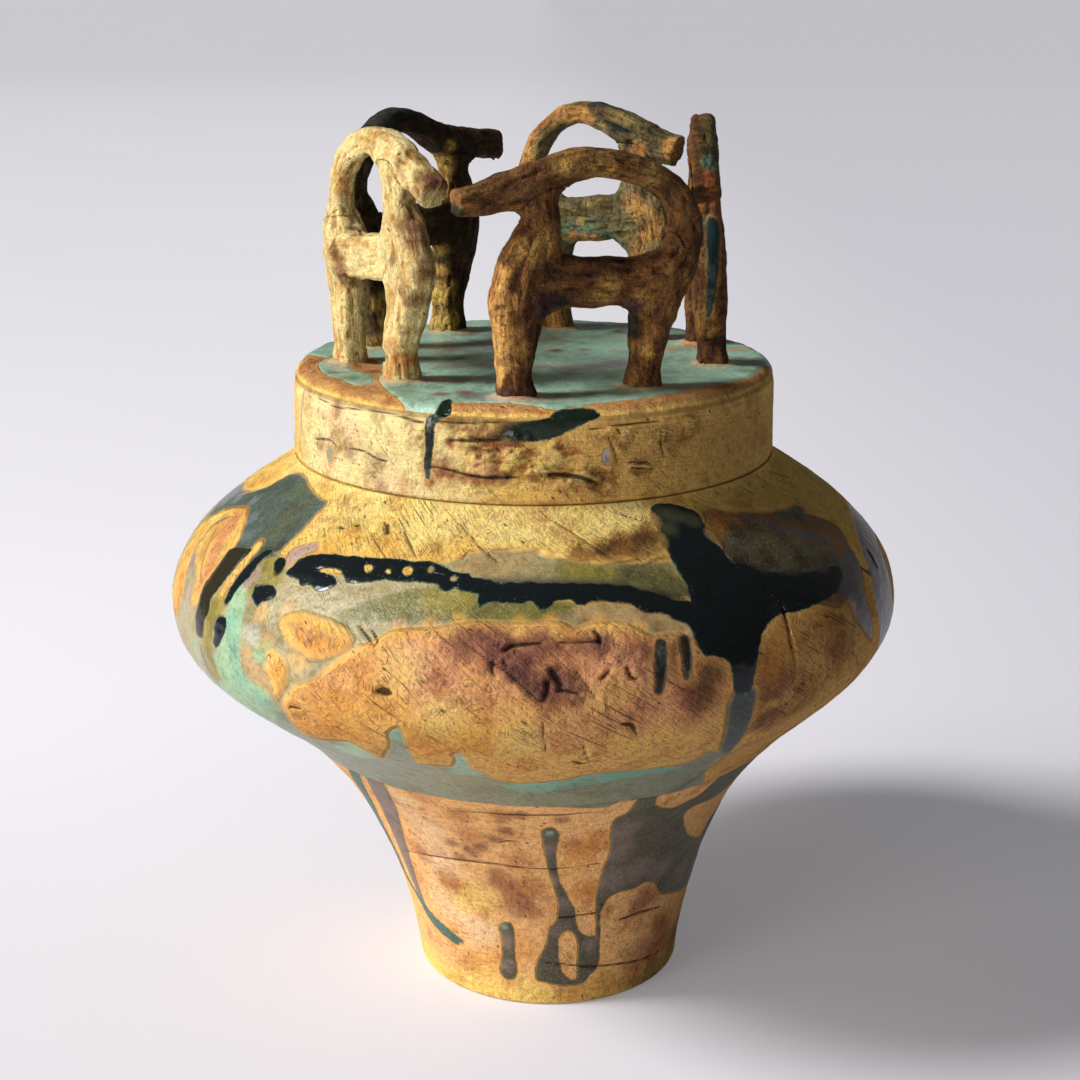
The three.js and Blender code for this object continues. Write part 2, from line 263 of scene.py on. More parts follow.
def vessel_radius(height):
    return np.interp(height, vessel_line[:, 1], vessel_line[:, 0], left=NOWHERE, right=NOWHERE)


def along_vessel(height):
    return np.interp(height, vessel_line[:, 1], vessel_along)


def lid_radius(height):
    return LID_RADIUS - LID_TAPER * (height - LID_SEAT)


def band_radius(height):
    inside = (height > LID_SEAT) & (height < LID_TOP)
    return np.where(inside, lid_radius(height), NOWHERE)


def sight_lines(pixels):
    pixels = np.atleast_2d(np.asarray(pixels, float))
    across = (pixels[:, 0] - PHOTO_MIDDLE) / FOCAL_PIXELS
    rise = (PHOTO_MIDDLE - pixels[:, 1]) / FOCAL_PIXELS
    ahead = math.cos(CAMERA_PITCH) + rise * math.sin(CAMERA_PITCH)
    upward = rise * math.cos(CAMERA_PITCH) - math.sin(CAMERA_PITCH)
    return np.stack([across, ahead, upward], axis=1)


def seen_on_turned(pixels, radius_at):
    """(degrees from the front, height) where each pixel's line of sight meets a turned form.
    A line that passes it by gives the nearest place on its outline."""
    points = CAMERA_PLACE + sight_lines(pixels)[:, None, :] * SIGHT_STEPS[:, None]
    east = points[..., 0] - lean_at(points[..., 2])
    gap = np.hypot(east, points[..., 1]) - radius_at(points[..., 2])
    hit = gap < 0
    first = np.where(hit.any(axis=1), hit.argmax(axis=1), gap.argmin(axis=1))
    rows = np.arange(len(points))
    angle = np.degrees(np.arctan2(east[rows, first], -points[rows, first, 1]))
    return np.stack([angle, points[rows, first, 2]], axis=1)


def seen_on_vessel(pixels):
    places = seen_on_turned(pixels, vessel_radius)
    return np.stack([places[:, 0], along_vessel(places[:, 1])], axis=1)


def seen_on_band(pixels):
    return seen_on_turned(pixels, band_radius)


def seen_on_lid_top(pixels):
    lines = sight_lines(pixels)
    reach = (LID_TOP - CAMERA_PLACE[2]) / lines[:, 2]
    return (CAMERA_PLACE + lines * reach[:, None])[:, :2]


def figure_frame(name):
    """Hind foot, direction of travel and direction across of a figure, seen from above."""
    bearing, inset, heading = FIGURES[name]
    out = LID_TOP_RADIUS - inset
    foot = np.array([out * math.cos(math.radians(bearing)), out * math.sin(math.radians(bearing))])
    ahead = np.array([math.cos(math.radians(heading)), math.sin(math.radians(heading))])
    return foot, ahead, np.array([-ahead[1], ahead[0]])


def seen_on_figure(name):
    """Maps pixels to (along, up) in the upright plane that a figure stands in."""
    foot, ahead, aside = figure_frame(name)

    def seen(pixels):
        lines = sight_lines(pixels)
        reach = (aside @ (foot - CAMERA_PLACE[:2])) / (lines[:, :2] @ aside)
        points = CAMERA_PLACE + lines * reach[:, None]
        return np.stack([(points[:, :2] - foot) @ ahead, points[:, 2] - LID_TOP], axis=1)

    return seen


def seen_facing(name):
    """Maps pixels to (across, up) in an upright plane through a figure that faces the camera."""
    depth = figure_frame(name)[0][1] - FORMS[name]["stride"] / 2

    def seen(pixels):
        lines = sight_lines(pixels)
        points = CAMERA_PLACE + lines * ((depth - CAMERA_PLACE[1]) / lines[:, 1])[:, None]
        return np.stack([points[:, 0], points[:, 2] - LID_TOP], axis=1)

    return seen


# Skins: the outside of a piece with a flat chart, in which outlines and strokes are measured

FAR = 12.0
CRISP = 0.14
SOFT = 0.8


# A soft spot's edge, as shares of its radius, how uneven that edge is, and how far it can reach
SPOT_EDGE = (0.25, 1.25)
SPOT_UNEVEN = 0.45
SPOT_REACH = 2.2

# How far the mirrored decoration of the back is drawn together
BACK_SHRINK = 0.8


class Skin:
    """Points of a surface, each with a chart place (a, b). b is in mm, and a times mm_per_a is."""

    def __init__(self, points, normals, a, b, mm_per_a, wraps, seen):
        self.points, self.normals = points, normals
        self.a, self.b, self.mm_per_a = a, b, mm_per_a
        self.wraps, self.seen = wraps, seen
        self.relief = np.zeros(len(points))

    def near(self, places, reach):
        """The points near some places, with their own a unrolled towards them."""
        middle = (places[:, 0].min() + places[:, 0].max()) / 2
        own = self.a
        if self.wraps:
            own = middle + (self.a - middle + 180) % 360 - 180
        margin = reach / self.mm_per_a
        low, high = places.min(axis=0), places.max(axis=0)
        close = (own > low[0] - margin) & (own < high[0] + margin)
        close &= (self.b > low[1] - reach) & (self.b < high[1] + reach)
        chosen = np.flatnonzero(close)
        return chosen, own[chosen]

    def to_line(self, places, widths=None):
        """mm inside a closed outline, or inside a stroke with half widths, and -FAR far from it."""
        closed = widths is None
        places = np.asarray(places, float)
        result = np.full(len(self.a), -FAR)
        chosen, own = self.near(places, FAR)
        if not len(chosen):
            return result
        scale, height = self.mm_per_a[chosen], self.b[chosen]
        order = list(range(len(places))) + ([0] if closed else [])
        best = np.full(len(chosen), FAR**2 if closed else -FAR)
        inside = np.zeros(len(chosen), bool)
        for start, end in zip(order[:-1], order[1:]):
            ax = (places[start, 0] - own) * scale
            ay = places[start, 1] - height
            dx = (places[end, 0] - places[start, 0]) * scale
            dy = places[end, 1] - places[start, 1]
            share = np.clip(-(ax * dx + ay * dy) / np.maximum(dx * dx + dy * dy, 1e-9), 0, 1)
            squared = (ax + share * dx)**2 + (ay + share * dy)**2
            if closed:
                best = np.minimum(best, squared)
                by = ay + dy
                crosses = (ay > 0) != (by > 0)
                with np.errstate(divide="ignore", invalid="ignore"):
                    inside ^= crosses & (ax - ay * dx / dy > 0)
            else:
                width = widths[start] + share * (widths[end] - widths[start])
                best = np.maximum(best, width - np.sqrt(squared))
        if closed:
            best = np.where(inside, 1, -1) * np.sqrt(best)
        result[chosen] = np.clip(best, -FAR, FAR)
        return result

    def spot(self, place, radius, uneven):
        """A soft round spot, 1 at its middle and 0 beyond its radius, with an uneven edge."""
        chosen, own = self.near(place[None, :], SPOT_REACH * radius)
        share = np.zeros(len(self.a))
        across = (place[0] - own) * self.mm_per_a[chosen]
        distance = np.hypot(across, place[1] - self.b[chosen]) / radius
        distance += SPOT_UNEVEN * uneven[chosen]
        share[chosen] = 1 - blend_step(*SPOT_EDGE, distance)
        return share

    def spots(self, pixels, radius, uneven):
        """The spot round each pixel, with its radius in pixels."""
        for place in self.seen(pixels):
            yield self.spot(place, radius * PIXEL_MM, uneven)

    def seen_line(self, stations):
        """A line of (x, y, half width in mm), with its pixels made chart places."""
        stations = np.asarray(stations, float)
        return np.column_stack([self.seen(stations[:, :2]), stations[:, 2]])


def curved(places, closed, steps=4):
    """A smooth line through the places."""
    places = np.asarray(places, float)
    count = len(places)
    picks = np.arange(count if closed else count - 1)

    def at(offset):
        index = picks + offset
        return places[index % count] if closed else places[np.clip(index, 0, count - 1)]

    before, start, end, after = at(-1), at(0), at(1), at(2)
    rows = []
    for t in np.arange(steps) / steps:
        rows.append(0.5 * (2 * start + (end - before) * t
                           + (2 * before - 5 * start + 4 * end - after) * t * t
                           + (3 * start - before - 3 * end + after) * t**3))
    line = np.stack(rows, axis=1).reshape(-1, places.shape[1])
    return line if closed else np.concatenate([line, places[-1:]])


def colour(red, green, blue):
    """A colour as a screen shows it, made linear."""
    shares = np.array([red, green, blue]) / 255
    return np.where(shares < 0.04045, shares / 12.92, ((shares + 0.055) / 1.055)**2.4)


class Coat:
    """One coat of glaze on a skin: mm inside its edge, how soft the edge is, and its colour."""

    def __init__(self, skin, ground, uneven, fuzz=CRISP):
        self.skin, self.uneven = skin, uneven
        self.depth = np.full(len(skin.a), -FAR)
        self.fuzz = np.full(len(skin.a), fuzz)
        self.colour = np.tile(ground, (len(skin.a), 1))

    def lay(self, steps):
        """Takes each step in turn. A step is the name of one of the actions below, and its values."""
        for action, *values in steps:
            getattr(self, action)(*values)

    def add(self, shade, depth):
        self.colour = blend(self.colour, shade, blend_step(-1.6, 0.2, depth))
        self.depth = np.maximum(self.depth, depth)

    def fill(self, shade, places):
        """Glaze inside an outline of chart places."""
        self.add(shade, self.skin.to_line(curved(places, True)))

    def pour(self, shade, pixels):
        self.fill(shade, self.skin.seen(pixels))

    def mirror(self, shade, pixels, turn):
        """A traced outline, mirrored on to the back round a bearing in degrees."""
        places = self.skin.seen(pixels)
        self.fill(shade, np.column_stack([turn - BACK_SHRINK * places[:, 0], places[:, 1]]))

    def stroke(self, shade, stations):
        """A drip or stroke through chart places, each with a half width in mm."""
        line = curved(stations, False)
        self.add(shade, self.skin.to_line(line[:, :2], line[:, 2]))

    def run(self, shade, stations):
        """A drip or stroke through pixels, each with a half width in mm."""
        self.stroke(shade, self.skin.seen_line(stations))

    def spare(self, pixels):
        """Clay left bare inside the coat."""
        depth = self.skin.to_line(curved(self.skin.seen(pixels), True))
        self.depth = np.minimum(self.depth, -depth)

    def tint(self, shade, strength, radius, pixels):
        """Soft spots of another colour in the coat."""
        for spot in self.skin.spots(pixels, radius, self.uneven):
            self.colour = blend(self.colour, shade, strength * spot)

    def soften(self, fuzz, radius, pixels):
        """Sprayed edges, `fuzz` mm wide, near some pixels."""
        for spot in self.skin.spots(pixels, radius, self.uneven):
            self.fuzz = self.fuzz * (1 - spot) + fuzz * spot


def dab_clay(skin, clay, uneven, dabs):
    """Soft spots of other clay colours: (colour, strength, radius in pixels, pixels)."""
    for shade, strength, radius, pixels in dabs:
        for spot in skin.spots(pixels, radius, uneven):
            clay = blend(clay, shade, strength * spot)
    return clay


def patches(skin, uneven, spots):
    """Soft patches, 1 at their middles: (strength, radius in pixels, pixels)."""
    total = np.zeros(len(skin.a))
    for strength, radius, pixels in spots:
        for spot in skin.spots(pixels, radius, uneven):
            total = np.maximum(total, strength * spot)
    return total


def cut_cracks(skin, cracks):
    """Sinks cracks into the skin: ([(x, y, half width)], depth in mm). Gives mm inside the nearest."""
    nearest = np.full(len(skin.a), -FAR)
    for stations, deep in cracks:
        path = curved(skin.seen_line(stations), False)
        stroke = skin.to_line(path[:, :2], path[:, 2])
        nearest = np.maximum(nearest, stroke)
        skin.relief -= deep * blend_step(-0.7, 0.3, stroke)
    return nearest


def cloud_back(skin, clay, shade, strength, clouds):
    """Clouds of another colour on the unseen back."""
    hidden = blend_step(100, 125, np.abs(skin.a))
    return blend(clay, shade, hidden * strength * clouds)


def skin_values(clay, wash, dark, crack=-FAR, torn=0.0):
    """What the materials read at each point of a painted skin."""
    even = np.zeros(len(clay))
    return dict(clay=clay, wash=wash.depth, wash_colour=wash.colour, dark=dark.depth, dark_colour=dark.colour,
                wash_fuzz=wash.fuzz, fuzz=dark.fuzz, crack=even + crack, torn=even + torn)


# Meshes

def add_object(name, data):
    made = bpy.data.objects.new(name, data)
    bpy.context.scene.collection.objects.link(made)
    return made


def make_mesh(name, points, faces):
    mesh = bpy.data.meshes.new(name)
    mesh.from_pydata(points * MM, [], faces)
    mesh.update()
    mesh.shade_smooth()
    return mesh


def store(mesh, name, values):
    """Keeps one number, vector or colour for each vertex under a name that materials read."""
    if values.ndim == 1:
        attribute = mesh.attributes.new(name, "FLOAT", "POINT")
        attribute.data.foreach_set("value", values.astype(np.float32))
    elif name == "place":
        attribute = mesh.attributes.new(name, "FLOAT_VECTOR", "POINT")
        attribute.data.foreach_set("vector", values.astype(np.float32).ravel())
    else:
        attribute = mesh.attributes.new(name, "FLOAT_COLOR", "POINT")
        opaque = np.column_stack([np.clip(values, 0, 1), np.ones(len(values))])
        attribute.data.foreach_set("color", opaque.astype(np.float32).ravel())


def place_piece(mesh, body, nodes, material):
    piece = add_object(mesh.name, mesh)
    mesh.materials.append(material)
    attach(piece, body)
    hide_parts(*nodes)
    return piece


def line_normals(line):
    slope = np.gradient(line, axis=0)
    slope /= np.linalg.norm(slope, axis=1, keepdims=True)
    return np.stack([slope[:, 1], -slope[:, 0]], axis=1)

def vertex_normals(mesh):
    normals = np.empty(len(mesh.vertices) * 3, np.float32)
    mesh.vertex_normals.foreach_get("vector", normals)
    return normals.reshape(-1, 3)


class Turned:
    """A solid of revolution: fine outside rows that carry a skin, then plain inside rows."""

    def __init__(self, outside, inside, columns, along, leans, seen, poles=None):
        self.rows = len(outside)
        self.columns = columns
        self.poles = poles
        angles = np.linspace(-180, 180, columns, endpoint=False)
        everything = np.concatenate([outside, inside]) if len(inside) else outside
        self.total_rows = len(everything)
        radius, height = np.repeat(everything, columns, axis=0).T
        turn = np.tile(np.radians(angles), self.total_rows)
        lean = lean_at(height) if leans else 0
        self.points = np.stack([lean + radius * np.sin(turn), -radius * np.cos(turn), height], axis=1)
        count = self.rows * columns
        across = np.repeat(line_normals(outside), columns, axis=0)
        turn = turn[:count]
        normals = np.stack([
            across[:, 0] * np.sin(turn), -across[:, 0] * np.cos(turn), across[:, 1],
        ], axis=1)
        degrees = np.tile(angles, self.rows)
        scale = np.maximum(radius[:count], 1) * math.pi / 180
        along = np.repeat(along, columns)
        self.skin = Skin(self.points[:count].copy(), normals, degrees, along, scale, True, seen)

    def faces(self):
        rows, columns = self.total_rows, self.columns
        low = np.arange(rows if self.poles is None else rows - 1)[:, None]
        high = (low + 1) % rows
        left = np.arange(columns)[None, :]
        right = (left + 1) % columns
        quads = np.stack([
            low * columns + left, low * columns + right, high * columns + right, high * columns + left,
        ])
        faces = quads.reshape(4, -1).T.tolist()
        if self.poles is not None:
            bottom, top = rows * columns, rows * columns + 1
            last = (rows - 1) * columns
            for i in range(columns):
                after = (i + 1) % columns
                faces.append([bottom, after, i])
                faces.append([top, last + i, last + after])
        return faces

    def mesh(self, name):
        count = self.rows * self.columns
        self.points[:count] = self.skin.points + self.skin.normals * self.skin.relief[:, None]
        points = self.points
        if self.poles is not None:
            points = np.concatenate([points, np.array(self.poles, float)])
        self.vertex_count = len(points)
        return make_mesh(name, points, self.faces())

    def finish(self, mesh, values):
        """Stores skin values, with plain ones for the inside rows."""
        for name, skin_values in values.items():
            shape = (self.vertex_count,) + skin_values.shape[1:]
            everything = np.empty(shape)
            everything[:] = PLAIN[name]
            everything[:len(skin_values)] = skin_values
            store(mesh, name, everything)


def join_normals(pieces, meshes):
    """Gives two meshes that meet along a row one set of normals, so that their seam doesn't show."""
    low, high = pieces
    grid = np.concatenate([
        (p.skin.points + p.skin.normals * p.skin.relief[:, None]).reshape(p.rows, p.columns, 3)[i:]
        for i, p in enumerate(pieces)
    ])
    across = np.roll(grid, -1, axis=1) - np.roll(grid, 1, axis=1)
    upward = np.gradient(grid, axis=0)
    normals = np.cross(across, upward)
    normals /= np.linalg.norm(normals, axis=2, keepdims=True)
    for piece, mesh, start in ((low, meshes[0], 0), (high, meshes[1], low.rows - 1)):
        own = vertex_normals(mesh)
        own[:piece.rows * piece.columns] = normals[start:start + piece.rows].reshape(-1, 3)
        mesh.normals_split_custom_set_from_vertices(own.tolist())


# Materials

class Graph:
    """Short words for the nodes of one material. Sizes are in mm."""

    def __init__(self, name):
        self.material = bpy.data.materials.new(name)
        self.material.use_nodes = True
        self.tree = self.material.node_tree
        self.tree.nodes.clear()
        self.where = self.node("ShaderNodeTexCoord").outputs["Object"]
        self.place = self.attribute("place", "Vector")

    def node(self, kind, **settings):
        made = self.tree.nodes.new(kind)
        for key, value in settings.items():
            setattr(made, key, value)
        return made

    def fill(self, socket, source):
        if isinstance(source, bpy.types.NodeSocket):
            self.tree.links.new(source, socket)
        else:
            socket.default_value = source

    def attribute(self, name, output="Fac"):
        return self.node("ShaderNodeAttribute", attribute_name=name).outputs[output]

    def math(self, operation, a, b):
        made = self.node("ShaderNodeMath", operation=operation)
        self.fill(made.inputs[0], a)
        self.fill(made.inputs[1], b)
        return made.outputs[0]

    def add(self, *values):
        total = values[0]
        for value in values[1:]:
            total = self.math("ADD", total, value)
        return total

    def times(self, *values):
        total = values[0]
        for value in values[1:]:
            total = self.math("MULTIPLY", total, value)
        return total

    def centred(self, value, strength):
        return self.times(self.math("SUBTRACT", value, 0.5), strength)

    def rest(self, share):
        return self.math("SUBTRACT", 1.0, share)

    def step(self, value, low, high, start=0.0, end=1.0):
        made = self.node("ShaderNodeMapRange", interpolation_type="SMOOTHSTEP")
        sockets = ("Value", "From Min", "From Max", "To Min", "To Max")
        for socket, source in zip(sockets, (value, low, high, start, end)):
            self.fill(made.inputs[socket], source)
        return made.outputs["Result"]

    def mix(self, share, a, b, kind="MIX"):
        made = self.node("ShaderNodeMix", data_type="RGBA", blend_type=kind)
        self.fill(made.inputs["Factor"], share)
        for socket, source in ((made.inputs[6], a), (made.inputs[7], b)):
            self.fill(socket, source if isinstance(source, bpy.types.NodeSocket) else (*source, 1))
        return made.outputs[2]

    def stretched(self, angle, length, width):
        """Chart coordinates turned by an angle, in units of length along and width across."""
        made = self.node("ShaderNodeMapping", vector_type="TEXTURE")
        self.fill(made.inputs["Vector"], self.place)
        made.inputs["Rotation"].default_value = (0, 0, math.radians(angle))
        made.inputs["Scale"].default_value = (length, width, 1)
        return made.outputs["Vector"]

    def noise(self, size, detail=3, roughness=0.55, vector=None, distortion=0.0):
        """Noise with features of a size in mm in space, or of the vector's own unit."""
        made = self.node("ShaderNodeTexNoise")
        self.fill(made.inputs["Vector"], self.where if vector is None else vector)
        made.inputs["Scale"].default_value = 1 / (size * MM) if vector is None else 1 / size
        made.inputs["Detail"].default_value = detail
        made.inputs["Roughness"].default_value = roughness
        made.inputs["Distortion"].default_value = distortion
        return made.outputs["Fac"]

    def cells(self, vector):
        """Distance from and random number of the nearest cell's middle."""
        made = self.node("ShaderNodeTexVoronoi", voronoi_dimensions="2D")
        self.fill(made.inputs["Vector"], vector)
        made.inputs["Scale"].default_value = 1
        split = self.node("ShaderNodeSeparateColor")
        self.fill(split.inputs[0], made.outputs["Color"])
        return made.outputs["Distance"], split.outputs[0]


RUST = colour(168, 92, 44)
GOLD = colour(236, 172, 70)
PALE_GOLD = colour(236, 178, 88)
# Painted shade: the dark brown inside scored marks, holes and cracks
CUT_SHADE = colour(50, 30, 20)
DARK_EARTH = colour(120, 74, 40)
SUNLIT = colour(255, 232, 150)
EDGE_TEAL = colour(84, 122, 112)
PALE_TEAL = colour(120, 150, 138)
WASH_CLOUD = colour(140, 128, 92)
WASH_PORE = colour(120, 112, 84)
WASH_GRAIN = colour(214, 206, 176)
WASH_HOLE_SHADE = colour(70, 60, 45)
WASH_MARK_SHADE = colour(84, 74, 56)
BARE_ROUGHNESS = 0.86
DARK_ROUGHNESS = 0.14
SHEEN = 0.3

# Scored marks: the direction in degrees, length and width in mm, and the share of places with one
SCORES = (
    (-47, 13, 0.8, 0.26), (-56, 7, 0.6, 0.24), (52, 8, 0.7, 0.22), (86, 9, 0.9, 0.16), (-38, 44, 1.6, 0.2),
    (12, 5, 0.7, 0.16),
)
PIT_ANGLE = -35


def scored(g, angle, length, width, share):
    """Scored marks of about one direction, each on its own: 1 in a mark and 0 beside it."""
    distance, chance = g.cells(g.stretched(angle, length, width))
    reach = g.add(g.times(chance, 0.5), 0.12)
    mark = g.step(g.math("DIVIDE", distance, reach), 0.55, 1.0, 1, 0)
    return g.times(mark, g.step(chance, share, share + 0.01, 1, 0))


def scores(g, amount):
    """Knife and rib marks: many short ones that run down to the right, and fewer other ways."""
    marks = scored(g, *SCORES[0])
    for score in SCORES[1:]:
        marks = g.math("MAXIMUM", marks, scored(g, *score))
    return g.times(marks, g.step(g.noise(13), 0.36, 0.56, 0.25, 1), amount)


def pits(g, size, share, stretch):
    """Small drawn-out holes: 1 at the middle of a hole."""
    distance, chance = g.cells(g.stretched(PIT_ANGLE, size * stretch, size))
    hole = g.step(g.math("DIVIDE", distance, g.add(chance, 0.3)), 0.1, 0.3, 1, 0)
    return g.times(hole, g.step(chance, share, share + 0.02, 1, 0))


class FiredClay(Graph):
    """Bare clay under a thin wash and a thick dark glaze, each where its attribute is above 0.
    scoring is how strong the scored marks are, and grit how coarse the bare clay is. drag is the
    angle, length and width of the marks that a tool left in the clay, halo is how far the clay
    is flushed beside a glaze, rim is the width of a wash's thin edge, and mottle is how much
    dark oxide lies in the clay's pores."""

    def __init__(self, name, scoring=1.0, wash_rough=0.3, grit=1.0, drag=(-44, 6, 0.9), halo=4.2, rim=1.5,
                 mottle=0.0):
        super().__init__(name)
        self.grit, self.halo, self.rim, self.mottle = grit, halo, rim, mottle
        self.grain = self.noise(0.55, 4, 0.72)
        self.crumb = self.noise(1.7, 6, 0.66)
        self.lump = self.noise(4.2, 5, 0.62)
        self.cloud = self.noise(11, 6, 0.62)
        self.drawn = self.noise(1, 5, 0.68, self.stretched(*drag), 0.3)
        self.marks = scores(self, scoring)
        holes = self.math("MAXIMUM", pits(self, 3.9, 0.24, 2.2), pits(self, 1.7, 0.2, 1.6))
        self.holes = self.times(holes, self.step(self.crumb, 0.4, 0.54, 0.2, 1))
        self.measure_glazes()
        surface = self.mix(self.wash, self.bare_clay(), self.wash_glaze())
        surface = self.mix(self.dark, surface, self.dark_glaze())
        # Painted shade in the cracks
        surface = self.mix(self.times(self.crack, 0.85), surface, CUT_SHADE)
        self.shade(surface, self.roughness(wash_rough), self.heights())

    def measure_glazes(self):
        """How deep each point lies in the wash, the dark glaze and the cracks, with crumbly edges."""
        sandy = self.centred(self.grain, 1.6)
        wobble = self.add(self.centred(self.crumb, 2.0), self.centred(self.lump, 1.6))
        blur = self.attribute("wash_fuzz")
        self.fuzz = self.attribute("fuzz")
        self.wash_depth = self.add(self.attribute("wash"), self.times(wobble, 0.75), self.times(sandy, 0.35))
        self.dark_depth = self.add(
            self.attribute("dark"), self.times(wobble, 0.8), self.times(sandy, self.add(self.fuzz, 0.25)),
        )
        self.wash = self.step(self.wash_depth, self.times(blur, -1.0), blur)
        self.dark = self.step(self.dark_depth, self.times(self.fuzz, -1.0), self.fuzz)
        self.crack = self.step(self.add(self.attribute("crack"), self.centred(self.crumb, 0.5)), -0.25, 0.2)

    def toned(self, ground, tones):
        """Colours laid over a ground: (field, its low and high, their shares, colour, kind of mix)."""
        for field, low, high, start, end, shade, kind in tones:
            ground = self.mix(self.step(field, low, high, start, end), ground, shade, kind)
        return ground

    def bare_clay(self):
        """Clouded, crumbly clay with marks and holes darkened by painted shade, and a golden flush where it
        meets a glaze.
        """
        clay = self.toned(self.attribute("clay", "Color"), (
            (self.cloud, 0.5, 0.66, 0, 0.42, RUST, "MULTIPLY"),
            (self.crumb, 0.5, 0.7, 0, 0.5, SUNLIT, "OVERLAY"),
            (self.drawn, 0.52, 0.66, 0, 0.2 + 0.6 * self.mottle, DARK_EARTH, "MULTIPLY"),
            (self.crumb, 0.36, 0.5, 0.26 + 0.6 * self.mottle, 0, DARK_EARTH, "MULTIPLY"),
            (self.grain, 0.36, 0.5, 0.26 + 0.3 * self.mottle, 0, DARK_EARTH, "MULTIPLY"),
            (self.drawn, 0.36, 0.48, 0.7 * self.mottle, 0, SUNLIT, "OVERLAY"),
        ))
        nearest = self.math("MAXIMUM", self.wash_depth, self.dark_depth)
        flush = self.times(self.step(nearest, -self.halo, -0.2), self.step(self.cloud, 0.3, 0.55, 0.35, 1))
        clay = self.mix(self.times(flush, 0.42), clay, PALE_GOLD)
        # Painted shade in the scored marks and the holes
        clay = self.mix(self.times(self.marks, 0.72), clay, CUT_SHADE)
        return self.mix(self.times(self.holes, 0.8), clay, CUT_SHADE)

    def wash_glaze(self):
        """A clouded wash, thin and golden at its edge."""
        wash = self.toned(self.attribute("wash_colour", "Color"), (
            (self.cloud, 0.46, 0.66, 0, 0.45, WASH_CLOUD, "MULTIPLY"),
            (self.crumb, 0.36, 0.54, 0.35, 0, WASH_PORE, "MULTIPLY"),
            (self.grain, 0.52, 0.66, 0, 0.22, WASH_GRAIN, "SCREEN"),
        ))
        thin = self.step(self.wash_depth, 0.0, self.rim, 0.55, 0.0)
        thin = self.times(thin, self.step(self.cloud, 0.25, 0.6, 0.3, 1))
        wash = self.mix(thin, wash, PALE_GOLD)
        # Painted shade in the holes and marks of the wash
        wash = self.mix(self.times(self.holes, 0.45), wash, WASH_HOLE_SHADE)
        return self.mix(self.times(self.marks, 0.28), wash, WASH_MARK_SHADE)

    def dark_glaze(self):
        """A thin teal fringe, then black with a few flecks."""
        crisp = self.step(self.fuzz, 0.2, 0.7, 1, 0)
        fringe = self.step(self.dark_depth, 0.0, 0.5, 0.7, 0.0)
        fringe = self.times(fringe, crisp, self.step(self.grain, 0.4, 0.56))
        dark = self.mix(fringe, self.attribute("dark_colour", "Color"), EDGE_TEAL)
        flecks = self.step(self.noise(0.8, roughness=0.6), 0.66, 0.72)
        inside = self.step(self.attribute("dark"), 0.0, 0.4)
        flecks = self.times(flecks, self.step(self.dark_depth, 0.2, 2.6, 1, 0.1), inside)
        return self.mix(self.times(flecks, 0.6), dark, PALE_TEAL)

    def roughness(self, wash_rough):
        rough = self.step(self.wash, 0, 1, BARE_ROUGHNESS, wash_rough)
        rough = self.add(self.times(rough, self.rest(self.dark)), self.times(self.dark, DARK_ROUGHNESS))
        return self.math("MAXIMUM", rough, self.step(self.crumb, 0.56, 0.76, 0.1, 0.5))

    def heights(self):
        """Heights in mm of the grain, the marks, the glazes and the cracks."""
        torn = self.attribute("torn")
        bare = self.rest(self.math("MAXIMUM", self.wash, self.dark))
        undark = self.rest(self.dark)
        grit = self.grit
        rows = (
            (self.grain, (bare, 0.42 * grit), (undark, 0.05)),
            (self.crumb, (bare, 1.5 * grit), (torn, 2.4), (undark, 0.16)),
            (self.lump, (bare, 1.3 * grit), (torn, 2.2), (undark, 0.4), (0.1, 1)),
            (self.drawn, (bare, 1.1 * grit), (torn, 0.9), (undark, 0.05)),
            (self.marks, (bare, -0.34), (undark, -0.12)),
            (self.holes, (bare, -0.4), (undark, -0.1)),
            (self.step(self.wash_depth, -0.4, 0.9), (0.08, 1)),
            (self.dark, (0.04, 1)),
            (self.crack, (-0.6, 1)),
        )
        return self.add(*(
            self.times(field, self.add(*(self.times(mask, amount) for mask, amount in masks)))
            for field, *masks in rows
        ))

    def shade(self, surface, rough, height):
        bump = self.node("ShaderNodeBump")
        bump.inputs["Strength"].default_value = 1.0
        bump.inputs["Distance"].default_value = MM
        self.fill(bump.inputs["Height"], height)
        shader = self.node("ShaderNodeBsdfPrincipled")
        shader.inputs["Specular IOR Level"].default_value = SHEEN
        self.fill(shader.inputs["Base Color"], surface)
        self.fill(shader.inputs["Roughness"], rough)
        self.fill(shader.inputs["Normal"], bump.outputs["Normal"])
        self.fill(self.node("ShaderNodeOutputMaterial").inputs["Surface"], shader.outputs["BSDF"])


# Colours of the clay and the glazes

BUFF = colour(248, 208, 112)
CREAM = colour(255, 232, 150)
OCHRE = colour(236, 182, 104)
ORANGE = colour(236, 158, 76)
PINK = colour(230, 164, 120)
PINK_CLAY = colour(214, 140, 96)
PALE_PINK = colour(252, 212, 168)
PLUM = colour(128, 76, 66)
DEEP_PLUM = colour(84, 52, 56)
BROWN = colour(128, 84, 46)
SCORCHED = colour(120, 78, 26)
UMBER = colour(82, 50, 22)
BLACK = colour(16, 22, 24)
NIGHT_GREEN = colour(38, 36, 22)
TEAL_GREY = colour(66, 82, 74)
SLATE = colour(110, 122, 132)
TEAL = colour(62, 96, 88)
BLUE_GREY = colour(92, 102, 108)
MOSS = colour(78, 82, 56)
OLIVE = colour(108, 104, 46)
YELLOW_OLIVE = colour(134, 122, 50)
OLIVE_BROWN = colour(100, 86, 34)
DARK_OLIVE = colour(78, 70, 50)
DRAB = colour(84, 80, 48)
STONE = colour(150, 138, 98)
TAN = colour(170, 142, 96)
MAUVE = colour(158, 134, 122)
LAVENDER = colour(128, 122, 128)
CELADON = colour(128, 160, 134)
PALE_CELADON = colour(138, 168, 130)
